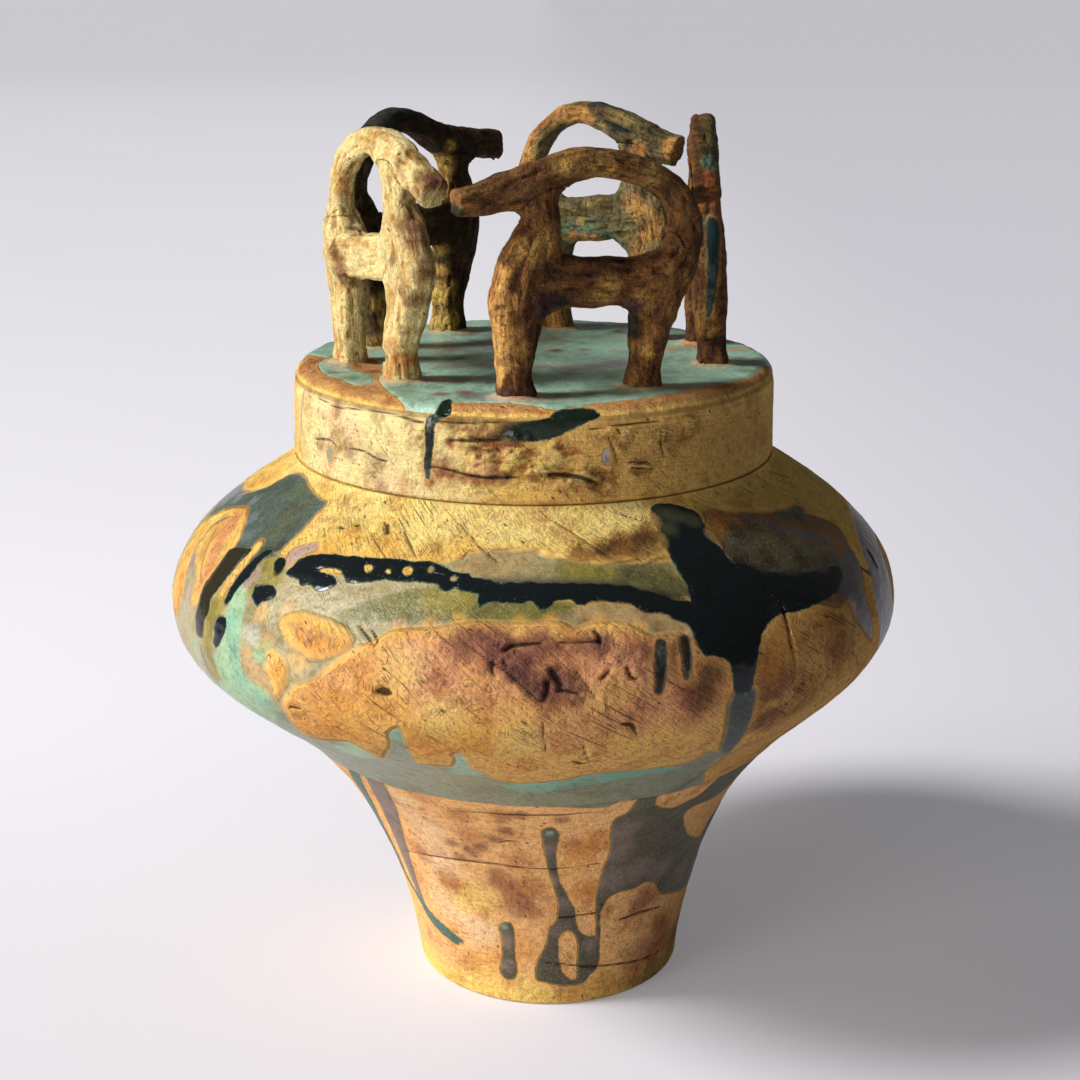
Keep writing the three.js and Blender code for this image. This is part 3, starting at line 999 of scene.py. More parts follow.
TURQUOISE = colour(104, 158, 138)
SAGE = colour(120, 126, 98)
DARK_SAGE = colour(92, 100, 82)
CRACKLE = colour(160, 160, 142)
FOOT_CLAY = colour(250, 190, 126)
BROWN_MAUVE = colour(122, 102, 92)
LID_CELADON = colour(150, 188, 168)
DUSK = colour(84, 80, 84)
PINK_RUST = colour(222, 150, 108)
BLACK_GREEN = colour(22, 34, 24)
LID_RUST = colour(200, 146, 88)
BAND_CLAY = colour(250, 204, 112)
LID_PLUM = colour(172, 140, 132)
LID_DUSK = colour(112, 148, 132)
RUBBED = colour(130, 90, 44)
PALE_CLAY = colour(255, 234, 166)
NIGHT_BROWN = colour(74, 56, 30)
OLIVE_CLAY = colour(140, 132, 92)
RUSSET = colour(128, 86, 44)
APRICOT = colour(226, 168, 98)
DEEP_TEAL = colour(34, 52, 52)
STEEL = colour(52, 62, 66)
DEEP_OLIVE = DARK_OLIVE * 0.9
FOOT_SAGE = colour(112, 118, 88)
DRIP_GREEN = colour(30, 58, 48)
GREY_STREAK = colour(142, 142, 150)
SAGE_STREAK = colour(158, 160, 136)
MAUVE_STREAK = colour(150, 146, 150)


# Decoration, read from the photograph, with the back made up in the same manner. Outlines and
# places are pixels. Each coat is a list of the steps that Coat.lay takes.

GREY_FIELD = [
    (150, 500), (208, 512), (225, 505), (250, 500), (262, 540), (285, 556), (300, 570), (440, 575),
    (560, 600), (690, 620), (696, 640), (680, 634), (668, 634), (652, 636), (640, 630), (625, 624),
    (600, 622), (575, 628), (560, 622), (520, 623), (470, 622), (440, 628), (400, 630), (376, 640),
    (350, 654), (330, 668), (314, 680), (298, 686), (290, 694), (286, 705), (300, 735), (250, 720),
    (200, 680), (150, 620),
]

GREY_LIP = [
    (425, 566), (440, 562), (462, 558), (470, 552), (500, 549), (535, 550), (550, 556), (600, 562),
    (640, 562), (668, 560), (690, 562), (704, 576), (706, 596), (640, 600), (560, 592), (500, 586),
    (440, 575),
]

OLIVE_RUN = [
    (338, 618), (348, 611), (360, 606), (380, 600), (400, 594), (420, 590), (460, 590), (482, 600),
    (520, 602), (545, 606), (560, 600), (576, 604), (560, 612), (540, 619), (500, 620), (450, 619),
    (400, 619), (360, 620), (345, 625),
]

CELADON_RUN = [
    (246, 581), (240, 584), (234, 594), (230, 606), (227, 620), (223, 640), (217, 655), (212, 668),
    (222, 690), (240, 706), (262, 724), (300, 740), (292, 727), (282, 712), (270, 692), (262, 682),
    (252, 677), (244, 668), (240, 655), (240, 640), (242, 620), (245, 600),
]

BLACK_LINE = [
    (287, 573), (293, 567), (300, 560), (310, 556), (322, 554), (340, 555), (365, 557), (400, 559),
    (412, 561), (430, 562), (445, 566), (455, 572), (468, 574), (474, 578), (500, 580), (540, 581),
    (580, 581), (620, 583), (642, 588), (662, 592), (690, 602), (700, 620), (690, 624), (676, 621),
    (668, 616), (660, 613), (648, 613), (640, 610), (630, 604), (615, 602), (600, 601), (590, 602),
    (585, 605), (577, 605), (571, 600), (560, 600), (553, 604), (547, 610), (540, 609), (536, 605),
    (530, 602), (520, 604), (500, 603), (487, 603), (480, 608), (478, 600), (478, 594), (462, 591),
    (456, 588), (450, 592), (441, 591), (438, 585), (425, 583), (405, 582), (385, 580), (370, 582),
    (352, 583), (346, 580), (343, 574), (338, 569), (328, 568), (318, 570), (326, 573), (335, 577),
    (337, 584), (330, 589), (322, 591), (315, 589), (309, 585), (302, 586), (298, 580), (292, 577),
]

SPLASH = [
    (651, 506), (668, 503), (684, 507), (697, 513), (704, 524), (712, 538), (722, 550), (734, 560),
    (752, 566), (772, 572), (800, 572), (820, 570), (834, 564), (842, 574), (838, 588), (828, 598),
    (812, 606), (794, 612), (780, 614), (768, 624), (762, 636), (758, 650), (755, 670), (750, 690),
    (740, 694), (734, 690), (731, 668), (724, 658), (706, 656), (697, 646), (690, 628), (680, 618),
    (690, 606), (688, 590), (680, 576), (672, 562), (663, 540), (656, 520),
]

UNDER_BAND = [
    (283, 712), (310, 736), (345, 741), (365, 752), (386, 759), (440, 766), (475, 769), (500, 780),
    (540, 784), (580, 780), (620, 772), (660, 768), (690, 762), (712, 750), (722, 756), (705, 772),
    (700, 796), (682, 815), (645, 830), (600, 832), (540, 828), (500, 822), (440, 812), (390, 803),
    (350, 790), (318, 768), (280, 735),
]

# Clay left open inside the glazes
OPEN_FIELDS = [
    [
        (205, 523), (222, 511), (246, 507), (246, 520), (240, 537), (232, 549), (222, 562), (212, 577),
        (203, 590), (197, 604), (193, 600), (196, 585), (198, 572), (197, 560), (199, 548), (203, 535),
    ],
    [
        (198, 528), (206, 520), (208, 524), (200, 540), (191, 560), (185, 580), (181, 600), (177, 612),
        (173, 602), (176, 580), (181, 560), (188, 543),
    ],
    [
        (261, 540), (263, 544), (258, 551), (250, 560), (243, 569), (237, 577), (233, 584), (228, 590),
        (223, 597), (221, 592), (224, 585), (230, 575), (238, 564), (247, 553), (255, 545),
    ],
    [
        (283, 624), (290, 618), (302, 615), (315, 618), (330, 622), (342, 629), (350, 638), (349, 646),
        (340, 651), (325, 656), (312, 655), (300, 648), (290, 640),
    ],
    [
        (271, 652), (277, 655), (284, 660), (287, 669), (287, 680), (282, 690), (278, 695), (275, 686),
        (271, 676), (269, 665),
    ],
    [
        (244, 487), (250, 490), (264, 487), (275, 482), (283, 476), (290, 472), (276, 470), (262, 472),
        (250, 479),
    ],
]

# Spots left open in the black line: (x, y, radius)
LINE_SPOTS = ((369, 568, 4.5), (389, 571, 3), (408, 571, 5), (432, 570, 3.6), (454, 579, 3.2))


def ring_round(x, y, radius):
    """Six places round a slightly flattened spot."""
    angles = np.radians(np.arange(0, 360, 60))
    return [(x + radius * math.cos(angle), y + 0.9 * radius * math.sin(angle)) for angle in angles]


def back_drip(turn, high, low, wide):
    """A drip down the back, at a bearing and between two heights."""
    return [(turn, high, wide), (turn + 2, (low + high) / 2, wide * 0.6), (turn, low, wide * 0.7)]


BELLY_DABS = [
    (CREAM, 0.7, 60, [(360, 500), (440, 520), (300, 480), (520, 525)]),
    (CREAM, 0.6, 26, [(590, 525), (620, 512), (640, 512)]),
    (GOLD, 0.5, 20, [(330, 545), (350, 535), (390, 548), (430, 552), (460, 545)]),
    (SCORCHED, 0.85, 15, [
        (580, 553), (600, 548), (620, 542), (640, 540), (655, 548), (650, 530), (630, 550), (610, 556),
    ]),
    (UMBER, 0.6, 9, [
        (600, 556), (620, 556), (640, 552), (650, 556), (640, 540), (612, 548), (650, 536),
    ]),
    (PINK_RUST, 0.6, 40, [
        (430, 655), (480, 650), (540, 650), (600, 655), (650, 655), (690, 680), (500, 700), (560, 710),
        (620, 700), (390, 690),
    ]),
    (PINK, 0.6, 34, [
        (430, 655), (450, 690), (420, 675), (640, 660), (600, 665), (340, 690), (315, 712),
    ]),
    (PINK, 0.5, 22, [(305, 700), (300, 715), (330, 690), (360, 660), (400, 650), (380, 668)]),
    (PLUM, 0.8, 24, [
        (520, 665), (545, 690), (500, 655), (570, 690), (535, 650), (480, 640), (555, 700),
    ]),
    (PLUM, 0.6, 20, [
        (640, 650), (670, 660), (690, 690), (460, 640), (600, 645), (500, 636), (540, 640), (575, 645),
    ]),
    (DEEP_PLUM, 0.6, 9, [
        (512, 672), (522, 682), (535, 692), (548, 700), (556, 676), (562, 690), (600, 640),
    ]),
    (RUST, 0.5, 20, [
        (340, 700), (330, 720), (420, 735), (480, 745), (560, 745), (600, 735), (640, 715), (690, 715),
        (620, 690),
    ]),
    (PINK, 0.5, 40, [(680, 700), (640, 700), (580, 720), (715, 690)]),
    (GOLD, 0.5, 40, [(310, 715), (345, 715), (380, 690), (440, 740), (480, 735)]),
    (ORANGE, 0.5, 24, [(330, 730), (300, 722), (360, 735), (420, 750), (520, 765), (450, 752)]),
    (CREAM, 0.3, 30, [(440, 715), (400, 670), (520, 740)]),
    (OCHRE, 0.6, 22, [(560, 720), (520, 715), (600, 705), (620, 690), (650, 740), (600, 745)]),
    (UMBER, 0.65, 22, [
        (705, 680), (700, 700), (715, 665), (760, 660), (770, 690), (780, 670), (760, 720),
    ]),
    (PLUM, 0.6, 26, [(765, 690), (770, 720), (745, 730), (790, 680), (680, 660), (660, 640)]),
    (BROWN, 0.5, 40, [(840, 640), (800, 700), (860, 600)]),
    (ORANGE, 0.45, 26, [(785, 640), (820, 620), (775, 665)]),
    # On the clay left open
    (PINK_CLAY, 0.8, 22, [(220, 540), (212, 560), (232, 520), (206, 580), (226, 528), (240, 512)]),
    (ORANGE, 0.7, 14, [(182, 580), (190, 552), (180, 600), (202, 530), (214, 585), (205, 596)]),
    (ORANGE, 0.6, 14, [
        (300, 625), (320, 640), (340, 645), (300, 645), (278, 670), (280, 685), (255, 484), (270, 478),
    ]),
    (MAUVE, 0.6, 5, [
        (292, 624), (298, 628), (310, 632), (322, 634), (332, 638), (308, 640), (238, 566), (232, 576),
        (228, 586),
    ]),
]

BELLY_WASH = [
    # Grey glaze over the left side and the front
    ("pour", STONE, GREY_FIELD),
    ("pour", STONE, GREY_LIP),
    ("pour", TAN, [
        (568, 608), (585, 602), (610, 600), (635, 606), (660, 612), (690, 620), (692, 634), (668, 630),
        (640, 626), (610, 618), (585, 620),
    ]),
    ("pour", MAUVE, [
        (287, 572), (286, 560), (291, 551), (300, 546), (312, 543), (321, 542), (319, 550), (308, 554),
        (297, 562),
    ]),
    ("pour", OLIVE, OLIVE_RUN),
    ("tint", OLIVE, 0.95, 17, [
        (572, 572), (588, 576), (604, 578), (620, 578), (636, 578), (652, 580), (668, 582), (680, 592),
    ]),
    ("soften", 2.5, 12, [
        (425, 566), (450, 560), (480, 552), (520, 550), (550, 556), (600, 562), (640, 562), (668, 564),
    ]),
    ("tint", YELLOW_OLIVE, 0.8, 16, [
        (430, 600), (450, 600), (465, 602), (440, 606), (575, 568), (600, 572),
    ]),
    ("tint", TAN, 0.6, 16, [(480, 560), (500, 562), (520, 560), (470, 566), (500, 572)]),
    ("tint", DRAB, 0.8, 18, [(650, 575), (665, 590), (630, 572), (685, 600)]),
    ("tint", GOLD, 0.45, 9, [
        (400, 626), (430, 624), (460, 620), (520, 622), (550, 620), (600, 620), (640, 628),
    ]),
    # Olive and celadon runs at the left
    ("pour", YELLOW_OLIVE, [
        (256, 562), (268, 556), (280, 556), (286, 566), (282, 580), (272, 588), (258, 588), (250, 596),
        (246, 590), (250, 574),
    ]),
    ("pour", PALE_CELADON, CELADON_RUN),
    ("pour", PALE_CELADON, [
        (256, 660), (258, 648), (265, 643), (271, 642), (270, 655), (269, 665), (260, 664),
    ]),
    ("pour", TAN, [
        (241, 652), (248, 650), (256, 662), (266, 668), (270, 682), (280, 696), (288, 712), (280, 706),
        (268, 690), (252, 677), (244, 668),
    ]),
    ("pour", YELLOW_OLIVE, [
        (236, 588), (230, 594), (226, 604), (222, 612), (216, 622), (213, 632), (212, 645), (213, 656),
        (217, 668), (222, 678), (214, 677), (208, 665), (205, 650), (205, 636), (207, 622), (211, 608),
        (216, 597), (226, 588),
    ]),
    ("pour", MAUVE, [
        (240, 582), (248, 573), (256, 566), (261, 569), (258, 578), (250, 586), (244, 586),
    ]),
    ("run", CELADON, [(196, 640, 0.5), (198, 656, 0.7), (204, 670, 0.7), (212, 684, 0.5)]),
    ("run", BLUE_GREY, [(202, 648, 0.3), (206, 662, 0.6), (212, 674, 0.6), (220, 684, 0.3)]),
    ("tint", TURQUOISE, 0.6, 14, [(232, 640), (236, 655), (240, 680), (262, 700), (232, 620)]),
    ("tint", MAUVE, 0.7, 12, [(186, 575), (190, 590), (188, 610), (196, 560)]),
    ("tint", GOLD, 0.35, 14, [(262, 614), (266, 640), (300, 660), (290, 612), (180, 640)]),
    ("pour", CRACKLE, [
        (244, 634), (246, 628), (251, 625), (257, 627), (260, 634), (260, 640), (256, 644), (249, 640),
    ]),
    # The teal-grey splash at the upper left
    ("pour", SLATE, [
        (196, 513), (214, 498), (232, 488), (248, 480), (262, 474), (268, 482), (240, 496), (222, 506),
        (208, 514),
    ]),
    ("pour", TEAL_GREY, [
        (208, 513), (222, 504), (240, 495), (256, 490), (268, 486), (280, 480), (291, 474), (302, 473),
        (307, 477), (311, 486), (317, 493), (323, 498), (328, 501), (328, 505), (323, 510), (317, 516),
        (310, 524), (302, 533), (293, 541), (286, 548), (280, 554), (268, 556), (256, 558), (244, 562),
        (230, 562), (234, 546), (240, 530), (244, 520), (247, 508), (240, 506), (228, 508), (214, 514),
    ]),
    ("soften", 0.2, 16, [(300, 476), (312, 487), (325, 500), (316, 516), (304, 531), (290, 544)]),
    ("tint", SLATE, 0.7, 12, [(225, 503), (238, 499), (250, 520), (246, 535), (215, 508), (255, 500)]),
    ("tint", NIGHT_GREEN, 0.6, 12, [(282, 545), (260, 550), (240, 552), (268, 552)]),
    ("tint", MOSS, 0.6, 16, [(300, 510), (290, 525), (270, 535), (310, 500), (285, 515), (300, 490)]),
    # Bare clay left open inside the glazes
    *(("spare", field) for field in OPEN_FIELDS),
    ("soften", 2.4, 14, OPEN_FIELDS[3] + OPEN_FIELDS[4]),
    ("soften", 1.6, 10, OPEN_FIELDS[0] + OPEN_FIELDS[1]),
    ("run", MAUVE, [
        (206, 596, 0.2), (202, 580, 0.4), (204, 560, 0.45), (212, 540, 0.4), (228, 524, 0.35),
        (238, 514, 0.2),
    ]),
    ("run", MAUVE, [
        (192, 570, 0.3), (196, 552, 0.5), (204, 536, 0.4), (216, 522, 0.5), (230, 513, 0.2),
    ]),
    ("run", CELADON, [(210, 528, 0.7), (218, 521, 1.1), (230, 515, 0.4)]),
    ("run", MAUVE, [(214, 575, 0.2), (222, 560, 0.4), (232, 546, 0.4), (240, 530, 0.2)]),
    # The black splash on the right and its drips
    ("pour", SCORCHED, [
        (700, 508), (745, 512), (790, 510), (830, 520), (850, 545), (862, 580), (842, 606), (800, 600),
        (760, 590), (728, 560), (708, 532),
    ]),
    ("pour", DARK_OLIVE, [
        (722, 540), (760, 530), (806, 535), (836, 555), (846, 580), (800, 586), (760, 582), (732, 560),
    ]),
    ("soften", 3.0, 16, [
        (706, 512), (730, 512), (760, 511), (790, 511), (826, 520), (848, 545), (720, 540), (760, 532),
        (806, 537), (836, 556), (846, 600), (800, 600),
    ]),
    ("tint", NIGHT_GREEN, 0.8, 16, [
        (740, 560), (770, 562), (800, 560), (830, 565), (845, 580), (735, 530), (750, 525),
    ]),
    ("tint", OLIVE_BROWN, 0.7, 14, [(770, 540), (795, 538), (820, 545)]),
    ("pour", DRAB, [(776, 512), (790, 504), (802, 506), (804, 516), (790, 522), (778, 520)]),
    ("pour", STEEL, [
        (722, 742), (726, 716), (732, 694), (744, 686), (756, 690), (754, 710), (746, 732), (730, 752),
        (712, 762),
    ]),
    ("pour", DUSK, [
        (842, 560), (852, 548), (860, 575), (868, 610), (872, 640), (858, 624), (848, 600), (838, 592),
    ]),
    ("pour", DUSK, [
        (846, 502), (866, 520), (880, 548), (892, 590), (890, 630), (878, 650), (876, 610), (868, 570),
        (856, 535),
    ]),
    ("run", DUSK, [(745, 518, 0.5), (780, 529, 0.9), (812, 536, 1.0), (833, 548, 0.8)]),
    # The celadon band under the belly, with its rising blobs
    ("pour", SAGE, UNDER_BAND),
    ("pour", TURQUOISE, [
        (505, 785), (560, 780), (610, 772), (680, 768), (640, 776), (580, 786), (530, 792),
    ]),
    ("pour", PALE_CELADON, [(338, 742), (350, 741), (366, 750), (376, 757), (356, 756), (340, 750)]),
    ("pour", SAGE, [
        (386, 762), (389, 745), (388, 732), (396, 726), (403, 731), (408, 745), (416, 760), (420, 768),
    ]),
    ("pour", CELADON, [
        (452, 772), (455, 760), (451, 755), (458, 752), (467, 758), (472, 768), (480, 774),
    ]),
    ("run", DARK_SAGE, [(650, 806, 1.6), (690, 782, 1.3), (735, 752, 1.0), (785, 722, 0.6)]),
    ("tint", TURQUOISE, 0.6, 10, [(456, 762), (462, 768), (398, 735), (620, 776), (560, 784)]),
    # The unseen back, in the manner of the front
    ("mirror", STONE, GREY_FIELD, 196),
    ("mirror", STONE, GREY_LIP, 188),
    ("mirror", OLIVE, OLIVE_RUN, 192),
    ("mirror", SAGE, UNDER_BAND, 182),
    ("mirror", PALE_CELADON, CELADON_RUN, 150),
    ("mirror", PALE_CELADON, CELADON_RUN, 236),
    ("fill", DARK_OLIVE, [
        (112, 196), (130, 204), (150, 200), (158, 190), (146, 180), (124, 178), (112, 184),
    ]),
]

BELLY_DARK = [
    # Black runs at the left
    ("pour", NIGHT_GREEN, [
        (232, 548), (251, 548), (247, 555), (240, 562), (232, 572), (224, 582), (217, 592), (212, 600),
        (210, 612), (206, 621), (205, 629), (203, 638), (198, 634), (197, 625), (197, 615), (199, 607),
        (201, 598), (205, 585), (210, 577), (217, 567), (225, 556),
    ]),
    ("pour", BLACK, [
        (274, 550), (266, 550), (258, 556), (250, 562), (243, 570), (238, 577), (233, 585), (228, 594),
        (225, 603), (229, 605), (233, 597), (239, 588), (247, 580), (253, 573), (258, 566), (263, 559),
        (270, 555),
    ]),
    ("pour", BLACK, [
        (220, 616), (226, 617), (228, 624), (226, 632), (223, 638), (220, 645), (216, 648), (214, 641),
        (216, 634), (215, 628), (217, 621),
    ]),
    ("pour", BLACK, [
        (254, 592), (256, 586), (262, 585), (268, 584), (275, 586), (277, 592), (276, 598), (270, 600),
        (262, 603), (259, 607), (256, 603), (253, 598),
    ]),
    ("pour", BLACK, [
        (275, 562), (281, 557), (287, 560), (286, 567), (281, 574), (276, 575), (274, 569),
    ]),
    ("soften", 0.9, 9, [
        (269, 579), (276, 577), (263, 582), (226, 608), (222, 612), (204, 634), (250, 560),
    ]),
    # The black line round the front, its spots left open, and its far half sprayed on
    ("pour", BLACK, BLACK_LINE),
    *(("spare", ring_round(*spot)) for spot in LINE_SPOTS),
    ("soften", 3.0, 13, [
        (500, 576), (520, 575), (540, 575), (560, 575), (580, 575), (600, 576), (620, 578), (640, 581),
        (660, 586), (675, 594),
    ]),
    ("soften", 0.6, 12, [(486, 576), (600, 604), (640, 612), (620, 606), (665, 618)]),
    # The black splash on the right and its drips
    ("pour", BLACK, SPLASH),
    ("tint", MOSS, 0.5, 12, [(660, 512), (672, 515), (690, 520), (668, 530)]),
    ("soften", 3.0, 12, [
        (735, 558), (760, 570), (790, 572), (820, 568), (662, 540), (656, 520), (710, 536),
    ]),
    ("run", NIGHT_GREEN, [(662, 644, 1.6), (661, 665, 1.9), (660, 690, 1.4)]),
    ("run", NIGHT_GREEN, [(684, 640, 1.6), (687, 656, 1.6), (687, 676, 0.9)]),
    ("soften", 0.7, 14, [(662, 650), (661, 670), (660, 690), (686, 645), (687, 665), (687, 678)]),
    # The unseen back, in the manner of the front
    ("mirror", BLACK, BLACK_LINE, 184),
    ("mirror", BLACK, SPLASH, 176),
    ("stroke", BLACK, back_drip(206, 170, 140, 2.5)),
    ("stroke", BLACK, back_drip(214, 168, 148, 2)),
    ("stroke", BLACK, back_drip(236, 180, 150, 3)),
]

BELLY_CRACKS = [
    ([(505, 650, 0.3), (512, 645, 0.6), (525, 643, 0.6), (541, 642, 0.3)], 1.4),
    ([(560, 641, 0.15), (575, 642, 0.3), (590, 641, 0.4), (600, 640, 0.6)], 0.8),
    ([(595, 630, 0.3), (600, 636, 0.6), (601, 642, 0.4)], 0.9),
    ([(493, 662, 0.4), (492, 670, 0.5), (495, 676, 0.3)], 0.9),
    ([(496, 664, 0.3), (510, 674, 0.35), (525, 688, 0.35), (540, 702, 0.3)], 0.8),
    ([(504, 662, 0.5), (507, 667, 0.3)], 0.9),
    ([(552, 670, 0.6), (557, 678, 0.8), (562, 686, 0.5)], 1.2),
    ([(548, 682, 0.5), (547, 692, 0.6), (543, 702, 0.4)], 1.2),
    ([(560, 690, 0.4), (570, 692, 0.5), (580, 694, 0.3)], 0.9),
    ([(578, 672, 0.25), (586, 684, 0.3), (596, 698, 0.2)], 0.5),
    ([(603, 678, 0.4), (610, 670, 0.2)], 0.9),
    ([(628, 668, 0.4), (632, 677, 0.5), (638, 679, 0.3)], 0.9),
    ([(376, 692, 0.5), (384, 692, 1.3), (390, 694, 0.5)], 1.6),
    ([(623, 725, 0.4), (632, 726, 0.7), (636, 734, 0.3)], 0.9),
    ([(572, 762, 0.3), (582, 765, 0.7), (592, 763, 0.3)], 0.9),
    ([(544, 724, 0.25), (544, 736, 0.3), (546, 752, 0.2)], 0.5),
    ([(583, 744, 0.25), (585, 752, 0.3), (587, 760, 0.2)], 0.5),
    ([(290, 707, 0.4), (300, 709, 0.4)], 0.7),
    ([(372, 630, 0.2), (378, 640, 0.3), (374, 646, 0.2)], 0.5),
    ([(360, 626, 0.2), (368, 637, 0.35), (374, 644, 0.2)], 0.6),
    ([
        (764, 590, 0.15), (780, 602, 0.3), (786, 620, 0.35), (790, 640, 0.3), (794, 660, 0.3),
        (794, 676, 0.15),
    ], 0.7),
    ([(860, 566, 0.6), (868, 572, 0.8)], 0.8),
    ([(868, 552, 0.8), (876, 566, 0.6)], 0.8),
    ([(405, 530, 0.3), (410, 542, 0.4), (416, 556, 0.3)], 0.5),
    ([(387, 524, 0.7), (388, 532, 0.5)], 0.9),
    ([(340, 527, 0.5), (344, 528, 0.4)], 0.7),
    ([(356, 525, 0.5), (360, 524, 0.4)], 0.7),
    ([(446, 508, 0.15), (470, 534, 0.2), (480, 546, 0.2), (500, 563, 0.1)], 0.4),
    ([(540, 511, 0.15), (570, 530, 0.25), (600, 550, 0.25), (612, 558, 0.1)], 0.5),
    ([(616, 512, 0.15), (635, 518, 0.25), (650, 522, 0.15)], 0.4),
    ([(540, 641, 0.1), (560, 660, 0.15), (580, 680, 0.1)], 0.4),
    ([(455, 634, 0.1), (475, 650, 0.2), (495, 664, 0.2)], 0.4),
]

BELLY_TORN = [
    (1.0, 15, [(515, 668), (530, 682), (548, 692), (560, 684), (572, 696), (545, 672)]),
    (0.7, 13, [(636, 668), (648, 660), (600, 642), (505, 655), (490, 650), (665, 650), (620, 655)]),
    (0.55, 12, [(385, 527), (342, 527), (358, 525), (430, 545), (600, 545), (640, 540), (575, 540)]),
    (0.5, 14, [(295, 708), (375, 690), (590, 762), (628, 728), (800, 650), (780, 620), (845, 600)]),
    (0.35, 22, [(450, 650), (430, 670), (470, 690), (600, 700), (640, 690)]),
]

FOOT_FIELD = [
    (612, 822), (628, 812), (637, 800), (646, 790), (672, 790), (700, 776), (745, 745), (775, 735),
    (745, 780), (715, 820), (700, 850), (688, 880), (668, 893), (659, 893), (654, 884), (646, 882),
    (634, 889), (618, 893), (608, 900), (601, 915), (600, 938), (597, 950), (596, 900), (603, 870),
    (610, 850),
]

FOOT_DABS = [
    # Pale pink clay, laid strongest as a painted highlight on the lit left of the foot
    (PALE_PINK, 0.7, 34, [(440, 860), (450, 900), (430, 830), (400, 800), (480, 930)]),
    (BUFF, 0.6, 30, [
        (460, 895), (480, 900), (430, 960), (480, 970), (520, 985), (600, 985), (400, 900),
    ]),
    (PLUM, 0.7, 11, [
        (470, 850), (482, 846), (496, 838), (506, 830), (462, 856), (452, 842), (520, 815), (560, 820),
    ]),
    (RUST, 0.55, 20, [
        (500, 880), (515, 895), (520, 860), (530, 885), (470, 835), (450, 880), (600, 845), (580, 850),
        (590, 890), (640, 905), (660, 920), (655, 950), (470, 960), (530, 910), (420, 850), (500, 815),
        (460, 815),
    ]),
    (ORANGE, 0.5, 26, [(580, 860), (590, 890), (490, 960), (520, 950), (600, 840)]),
    (PLUM, 0.5, 24, [(640, 900), (660, 930), (640, 950), (500, 880), (520, 905)]),
    (BROWN, 0.5, 30, [(670, 940), (650, 970), (680, 920)]),
    (RUST, 0.5, 24, [(600, 985), (630, 975), (570, 995)]),
]

# Runs down the back of the foot: (bearing, height of the lower end)
FOOT_RUNS = ((104, 30), (125, 8), (150, 45), (-128, 25), (-150, 10), (175, 20), (-100, 35))


def foot_run(turn, low):
    return [(turn, 118, 9), (turn + 4, 80, 4), (turn + 1, low + 14, 2.5), (turn + 2, low, 2.2)]


FOOT_WASH = [
    ("pour", FOOT_SAGE, [
        (310, 725), (330, 752), (365, 770), (400, 783), (440, 786), (480, 796), (520, 804), (570, 808),
        (604, 808), (620, 802), (630, 793), (643, 792), (645, 800), (700, 760), (760, 720), (700, 700),
        (500, 740), (400, 720),
    ]),
    ("pour", DARK_OLIVE, FOOT_FIELD),
    ("spare", [
        (656, 804), (664, 790), (678, 781), (700, 779), (722, 768), (745, 755), (728, 770), (704, 792),
        (690, 800), (672, 808),
    ]),
    ("spare", [
        (684, 816), (696, 806), (714, 798), (734, 782), (752, 764), (744, 782), (728, 800), (710, 818),
        (700, 836), (688, 834),
    ]),
    ("tint", MOSS, 0.8, 22, [(680, 810), (665, 800), (650, 795), (690, 840), (640, 800)]),
    ("tint", BROWN_MAUVE, 0.8, 22, [
        (620, 850), (640, 870), (660, 870), (610, 880), (680, 870), (625, 830),
    ]),
    ("run", BROWN_MAUVE, [
        (365, 768, 2.6), (381, 792, 4.6), (391, 815, 4.4), (400, 838, 3.6), (408, 860, 3.0),
        (417, 885, 2.4), (426, 908, 2.1), (440, 926, 2.4), (458, 942, 1.2),
    ]),
    ("run", TEAL, [
        (352, 766, 2), (367, 796, 3.4), (382, 823, 3.4), (394, 845, 2.8), (406, 873, 2),
        (419, 897, 1.6), (432, 915, 2.0), (446, 930, 2.8), (462, 940, 1.2),
    ]),
    ("pour", DEEP_OLIVE, [
        (541, 832), (548, 827), (556, 829), (560, 838), (557, 850), (557, 866), (561, 882), (568, 896),
        (575, 910), (578, 928), (585, 935), (598, 937), (600, 950), (598, 966), (590, 975), (583, 983),
        (566, 986), (549, 983), (536, 979), (536, 966), (541, 954), (546, 942), (549, 928), (556, 919),
        (558, 906), (555, 891), (549, 872), (545, 855), (542, 842),
    ]),
    ("spare", [
        (559, 940), (565, 931), (572, 932), (577, 944), (577, 966), (576, 978), (568, 977), (561, 968),
        (559, 952),
    ]),
    ("pour", DARK_OLIVE, [
        (499, 925), (505, 921), (512, 923), (515, 934), (516, 952), (518, 970), (514, 979), (505, 978),
        (500, 970), (502, 950), (501, 936),
    ]),
    *(("stroke", DARK_OLIVE, foot_run(turn, low)) for turn, low in FOOT_RUNS),
    ("mirror", DARK_OLIVE, FOOT_FIELD, 190),
    ("mirror", DARK_OLIVE, FOOT_FIELD, 262),
    ("tint", BROWN_MAUVE, 0.8, 12, [
        (548, 850), (552, 880), (562, 905), (560, 930), (590, 945), (508, 940), (509, 965),
    ]),
    ("tint", CELADON, 0.8, 5, [(550, 833), (505, 926)]),
]

FOOT_CRACKS = [
    ([(450, 812, 0.15), (490, 814, 0.4), (540, 816, 0.5), (590, 814, 0.4), (625, 810, 0.2)], 0.6),
    ([(405, 850, 0.15), (440, 857, 0.4), (490, 863, 0.45), (545, 869, 0.3), (600, 864, 0.2)], 0.5),
    ([(560, 917, 0.3), (590, 915, 0.4), (600, 912, 0.2)], 0.5),
    ([(620, 920, 0.4), (640, 912, 0.5), (660, 906, 0.3)], 0.5),
    ([(545, 962, 0.2), (590, 966, 0.4), (630, 962, 0.4), (660, 950, 0.2)], 0.5),
    ([(500, 842, 0.3), (512, 841, 0.3), (520, 843, 0.2)], 0.4),
]

